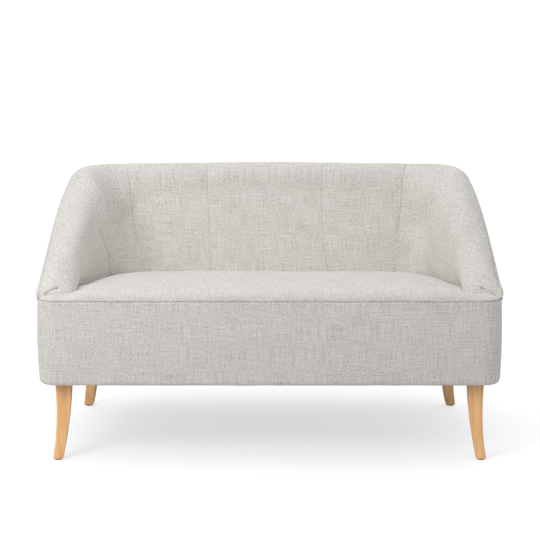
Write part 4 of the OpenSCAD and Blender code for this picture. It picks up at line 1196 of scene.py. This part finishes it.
class SETTEE_OT_outside(Operator):
    """Builds the outside covers of the arms and the back"""

    bl_idname = "settee.outside"
    bl_label = "Outside covers"

    # u of the seam at each rear corner, and half of its gap
    seam = 1.93
    half_gap = 0.0006
    arm_rows, back_rows = 200, 160

    def execute(self, context):
        rows, arm_end, back_start = self.arm_rows, self.seam - self.half_gap, self.seam + self.half_gap
        make_outside("outside_left", 0, arm_end, rows, 21, ["outside_arm_left"])
        make_outside("outside_right", LAST_U - arm_end, LAST_U, rows, 22, ["outside_arm_right"])
        back_end, rows = LAST_U - back_start, self.back_rows
        make_outside("outside_back_panel", back_start, back_end, rows, 23, ["outside_back"])
        return {"FINISHED"}


class SETTEE_OT_base(Operator):
    """Builds the four base covers"""

    bl_idname = "settee.base"
    bl_label = "Base covers"

    # w of the seam behind each front corner, and half of the gap at every seam
    wrap = 2.1
    half_gap = 0.0008

    def execute(self, context):
        # Rows of each cover in w, closer together at its seams
        wrap, gap = self.wrap, self.half_gap
        half = np.concatenate([np.linspace(0, 1, 90), np.linspace(1, 2, 40)[1:],
                               [2.03, 2.06, 2.08, 2.09, 2.094, 2.097, wrap - gap]])
        front = np.concatenate([half[::-1], -half[1:]])
        side = np.concatenate([wrap + gap + np.array([0, 0.004, 0.009, 0.018]),
                               np.linspace(2.13, 3, 60), np.linspace(3, 3.985, 60)[1:],
                               [3.992, 3.9965, 4 - gap]])
        rear = np.concatenate([4 + gap + np.array([0, 0.003, 0.007]), np.linspace(4.02, 5.98, 120),
                               [5.993, 5.997, 6 - gap]])
        covers = (("front", front), ("left", side[::-1]), ("right", -side), ("back", rear[::-1]))
        for seed, (place, w) in enumerate(covers, 31):
            make_base(f"base_{place}", w, seed, [f"base_cover_{place}"])
        return {"FINISHED"}


class SETTEE_OT_legs(Operator):
    """Builds the four sabre legs"""

    bl_idname = "settee.legs"
    bl_label = "Legs"

    def execute(self, context):
        for back, row in enumerate(("front", "back")):
            for side, hand in ((-1, "left"), (1, "right")):
                make_leg(f"leg_{row}_{hand}", back, side)
        return {"FINISHED"}


class SETTEE_OT_frame(Operator):
    """Gives every part of the carried-over frame its finish"""

    bl_idname = "settee.frame"
    bl_label = "Frame finishes"

    # For each slot: name, dark and light colours, spots per metre in each direction, roughness, metal
    finishes = {
        "frame_timber": ("softwood", (0.55, 0.39, 0.22), (0.70, 0.53, 0.33), (30, 30, 6), 0.7),
        "plywood": ("plywood", (0.58, 0.43, 0.27), (0.76, 0.60, 0.41), (12, 12, 90), 0.65),
        "hardboard": ("hardboard", (0.16, 0.09, 0.05), (0.25, 0.15, 0.09), (260,) * 3, 0.6),
        "foam": ("foam", (0.72, 0.66, 0.45), (0.84, 0.79, 0.60), (500,) * 3, 0.95),
        "lining_cloth": ("non-woven lining", (0.012,) * 3, (0.03,) * 3, (420,) * 3, 0.95),
        "webbing": ("webbing", (0.03, 0.03, 0.035), (0.08, 0.08, 0.09), (300, 300, 900), 0.85),
        "spring_steel": ("spring wire", (0.30, 0.30, 0.32), (0.42, 0.42, 0.44), (90,) * 3, 0.35, 1.0),
        "zinc_steel": ("zinc plate", (0.55, 0.56, 0.60), (0.70, 0.71, 0.74), (160,) * 3, 0.3, 1.0),
        "glide_plastic": ("glide plastic", (0.015,) * 3, (0.03,) * 3, (240,) * 3, 0.5),
    }

    def execute(self, context):
        materials = {slot: plain(*finish) for slot, finish in self.finishes.items()}
        for part in frame["record"]["subparts"]:
            carried = frame["nodes"][part["node"]]
            if carried.hide_render or part["material_slot"] not in materials:
                continue
            for place in carried.material_slots:
                place.material = materials[part["material_slot"]]
        return {"FINISHED"}


class SETTEE_OT_stage(Operator):
    """Builds the white floor, the lamps and the camera"""

    bl_idname = "settee.stage"
    bl_label = "Studio"

    floor_half = 120.0
    floor_bounce, floor_seen = (0.55, 0.55, 0.55, 1), (0.54, 0.54, 0.54, 1)
    floor_glow = (0.590, 0.598, 0.612, 1)
    white = (1, 1, 1, 1)
    aim = (0, 0, 0.4)
    key_place, key_size = (-1.7, -1.9, 1.8), (1.2, 1.2)
    top_place, top_size = (-0.2, 0.9, 2.6), (2.4, 1.4)
    sensor_width, shift_x = 36, 0.0007

    def execute(self, context):
        stage = context.scene.settee_stage
        self.floor()
        self.world(stage)
        self.lamp("key", self.key_place, self.key_size, stage.key)
        self.lamp("top", self.top_place, self.top_size, stage.top)
        self.camera(stage)
        return {"FINISHED"}

    def mix_for_camera(self, tree, others, seen, output):
        """Shows the camera one shader and every other ray another."""
        path = node(tree, "ShaderNodeLightPath")
        mix, out = node(tree, "ShaderNodeMixShader"), node(tree, output)
        tree.links.new(path.outputs["Is Camera Ray"], mix.inputs[0])
        tree.links.new(others.outputs[0], mix.inputs[1])
        tree.links.new(seen.outputs[0], mix.inputs[2])
        tree.links.new(mix.outputs[0], out.inputs["Surface"])

    def floor(self):
        """A square floor that glows a little for the camera alone, so that it ends in white."""
        x = self.floor_half
        mesh = bpy.data.meshes.new("studio_floor")
        mesh.from_pydata([(-x, -x, 0), (x, -x, 0), (x, x, 0), (-x, x, 0)], [], [(0, 1, 2, 3)])
        floor = bpy.data.objects.new("studio_floor", mesh)
        bpy.context.scene.collection.objects.link(floor)
        material = bpy.data.materials.new("studio floor")
        material.use_nodes = True
        tree = material.node_tree
        tree.nodes.clear()
        bounce = node(tree, "ShaderNodeBsdfDiffuse", Color=self.floor_bounce)
        seen = node(tree, "ShaderNodeBsdfDiffuse", Color=self.floor_seen)
        lift = node(tree, "ShaderNodeEmission", Color=self.floor_glow)
        both = node(tree, "ShaderNodeAddShader")
        tree.links.new(seen.outputs[0], both.inputs[0])
        tree.links.new(lift.outputs[0], both.inputs[1])
        self.mix_for_camera(tree, bounce, both, "ShaderNodeOutputMaterial")
        mesh.materials.append(material)

    def world(self, stage):
        """An even white light, and plain white where the camera looks past the floor."""
        world = bpy.data.worlds.new("studio")
        bpy.context.scene.world = world
        world.use_nodes = True
        tree = world.node_tree
        tree.nodes.clear()
        even = node(tree, "ShaderNodeBackground", Color=self.white, Strength=stage.fill)
        seen = node(tree, "ShaderNodeBackground", Color=self.white, Strength=1.0)
        self.mix_for_camera(tree, even, seen, "ShaderNodeOutputWorld")

    def lamp(self, name, place, size, power):
        """A rectangular lamp at a place, turned by its heading and pitch towards the settee."""
        data = bpy.data.lights.new(name, "AREA")
        data.shape = "RECTANGLE"
        data.size, data.size_y = size
        data.energy = power
        lamp = bpy.data.objects.new(name, data)
        bpy.context.scene.collection.objects.link(lamp)
        lamp.location = place
        x, y, z = np.array(self.aim) - np.array(place)
        pitch, heading = np.arctan2(z, np.hypot(x, y)), np.arctan2(y, x)
        lamp.rotation_euler = (np.pi / 2 + pitch, 0, heading - np.pi / 2)

    def camera(self, stage):
        """The camera, in front of the middle and looking down by its pitch."""
        data = bpy.data.cameras.new("camera")
        data.lens = stage.lens
        data.sensor_width = self.sensor_width
        data.shift_x = self.shift_x
        camera = bpy.data.objects.new("camera", data)
        bpy.context.scene.collection.objects.link(camera)
        camera.location = (0, -stage.camera_y, stage.camera_z)
        camera.rotation_euler = (np.pi / 2 - stage.pitch, 0, 0)
        bpy.context.scene.camera = camera


class SETTEE_PT_panel(Panel):
    """Lists the settee's pieces and sizes"""

    bl_idname = "SETTEE_PT_panel"
    bl_label = "Settee"
    bl_space_type = "VIEW_3D"
    bl_region_type = "UI"
    bl_category = "Settee"

    def draw(self, context):
        for operator in OPERATORS:
            self.layout.operator(operator.bl_idname)
        for group in GROUPS:
            box = self.layout.box()
            for key in GROUPS[group].__annotations__:
                box.prop(getattr(context.scene, group), key)


OPERATORS = (
    SETTEE_OT_seat,
    SETTEE_OT_arms,
    SETTEE_OT_corners,
    SETTEE_OT_back,
    SETTEE_OT_outside,
    SETTEE_OT_base,
    SETTEE_OT_legs,
    SETTEE_OT_frame,
    SETTEE_OT_stage,
)


def register():
    """Registers the classes and gives the scene its groups of sizes."""
    for cls in (*GROUPS.values(), *OPERATORS, SETTEE_PT_panel):
        bpy.utils.register_class(cls)
    for name, cls in GROUPS.items():
        setattr(bpy.types.Scene, name, PointerProperty(type=cls))


def unregister():
    """Takes the groups and the classes away again."""
    for name in GROUPS:
        delattr(bpy.types.Scene, name)
    for cls in (SETTEE_PT_panel, *reversed(OPERATORS), *reversed(GROUPS.values())):
        bpy.utils.unregister_class(cls)


def main():
    """Builds every piece."""
    register()
    bpy.context.scene.view_settings.view_transform = "Standard"
    for operator in OPERATORS:
        group, name = operator.bl_idname.split(".")
        getattr(getattr(bpy.ops, group), name)()


if __name__ == "__main__":
    main()
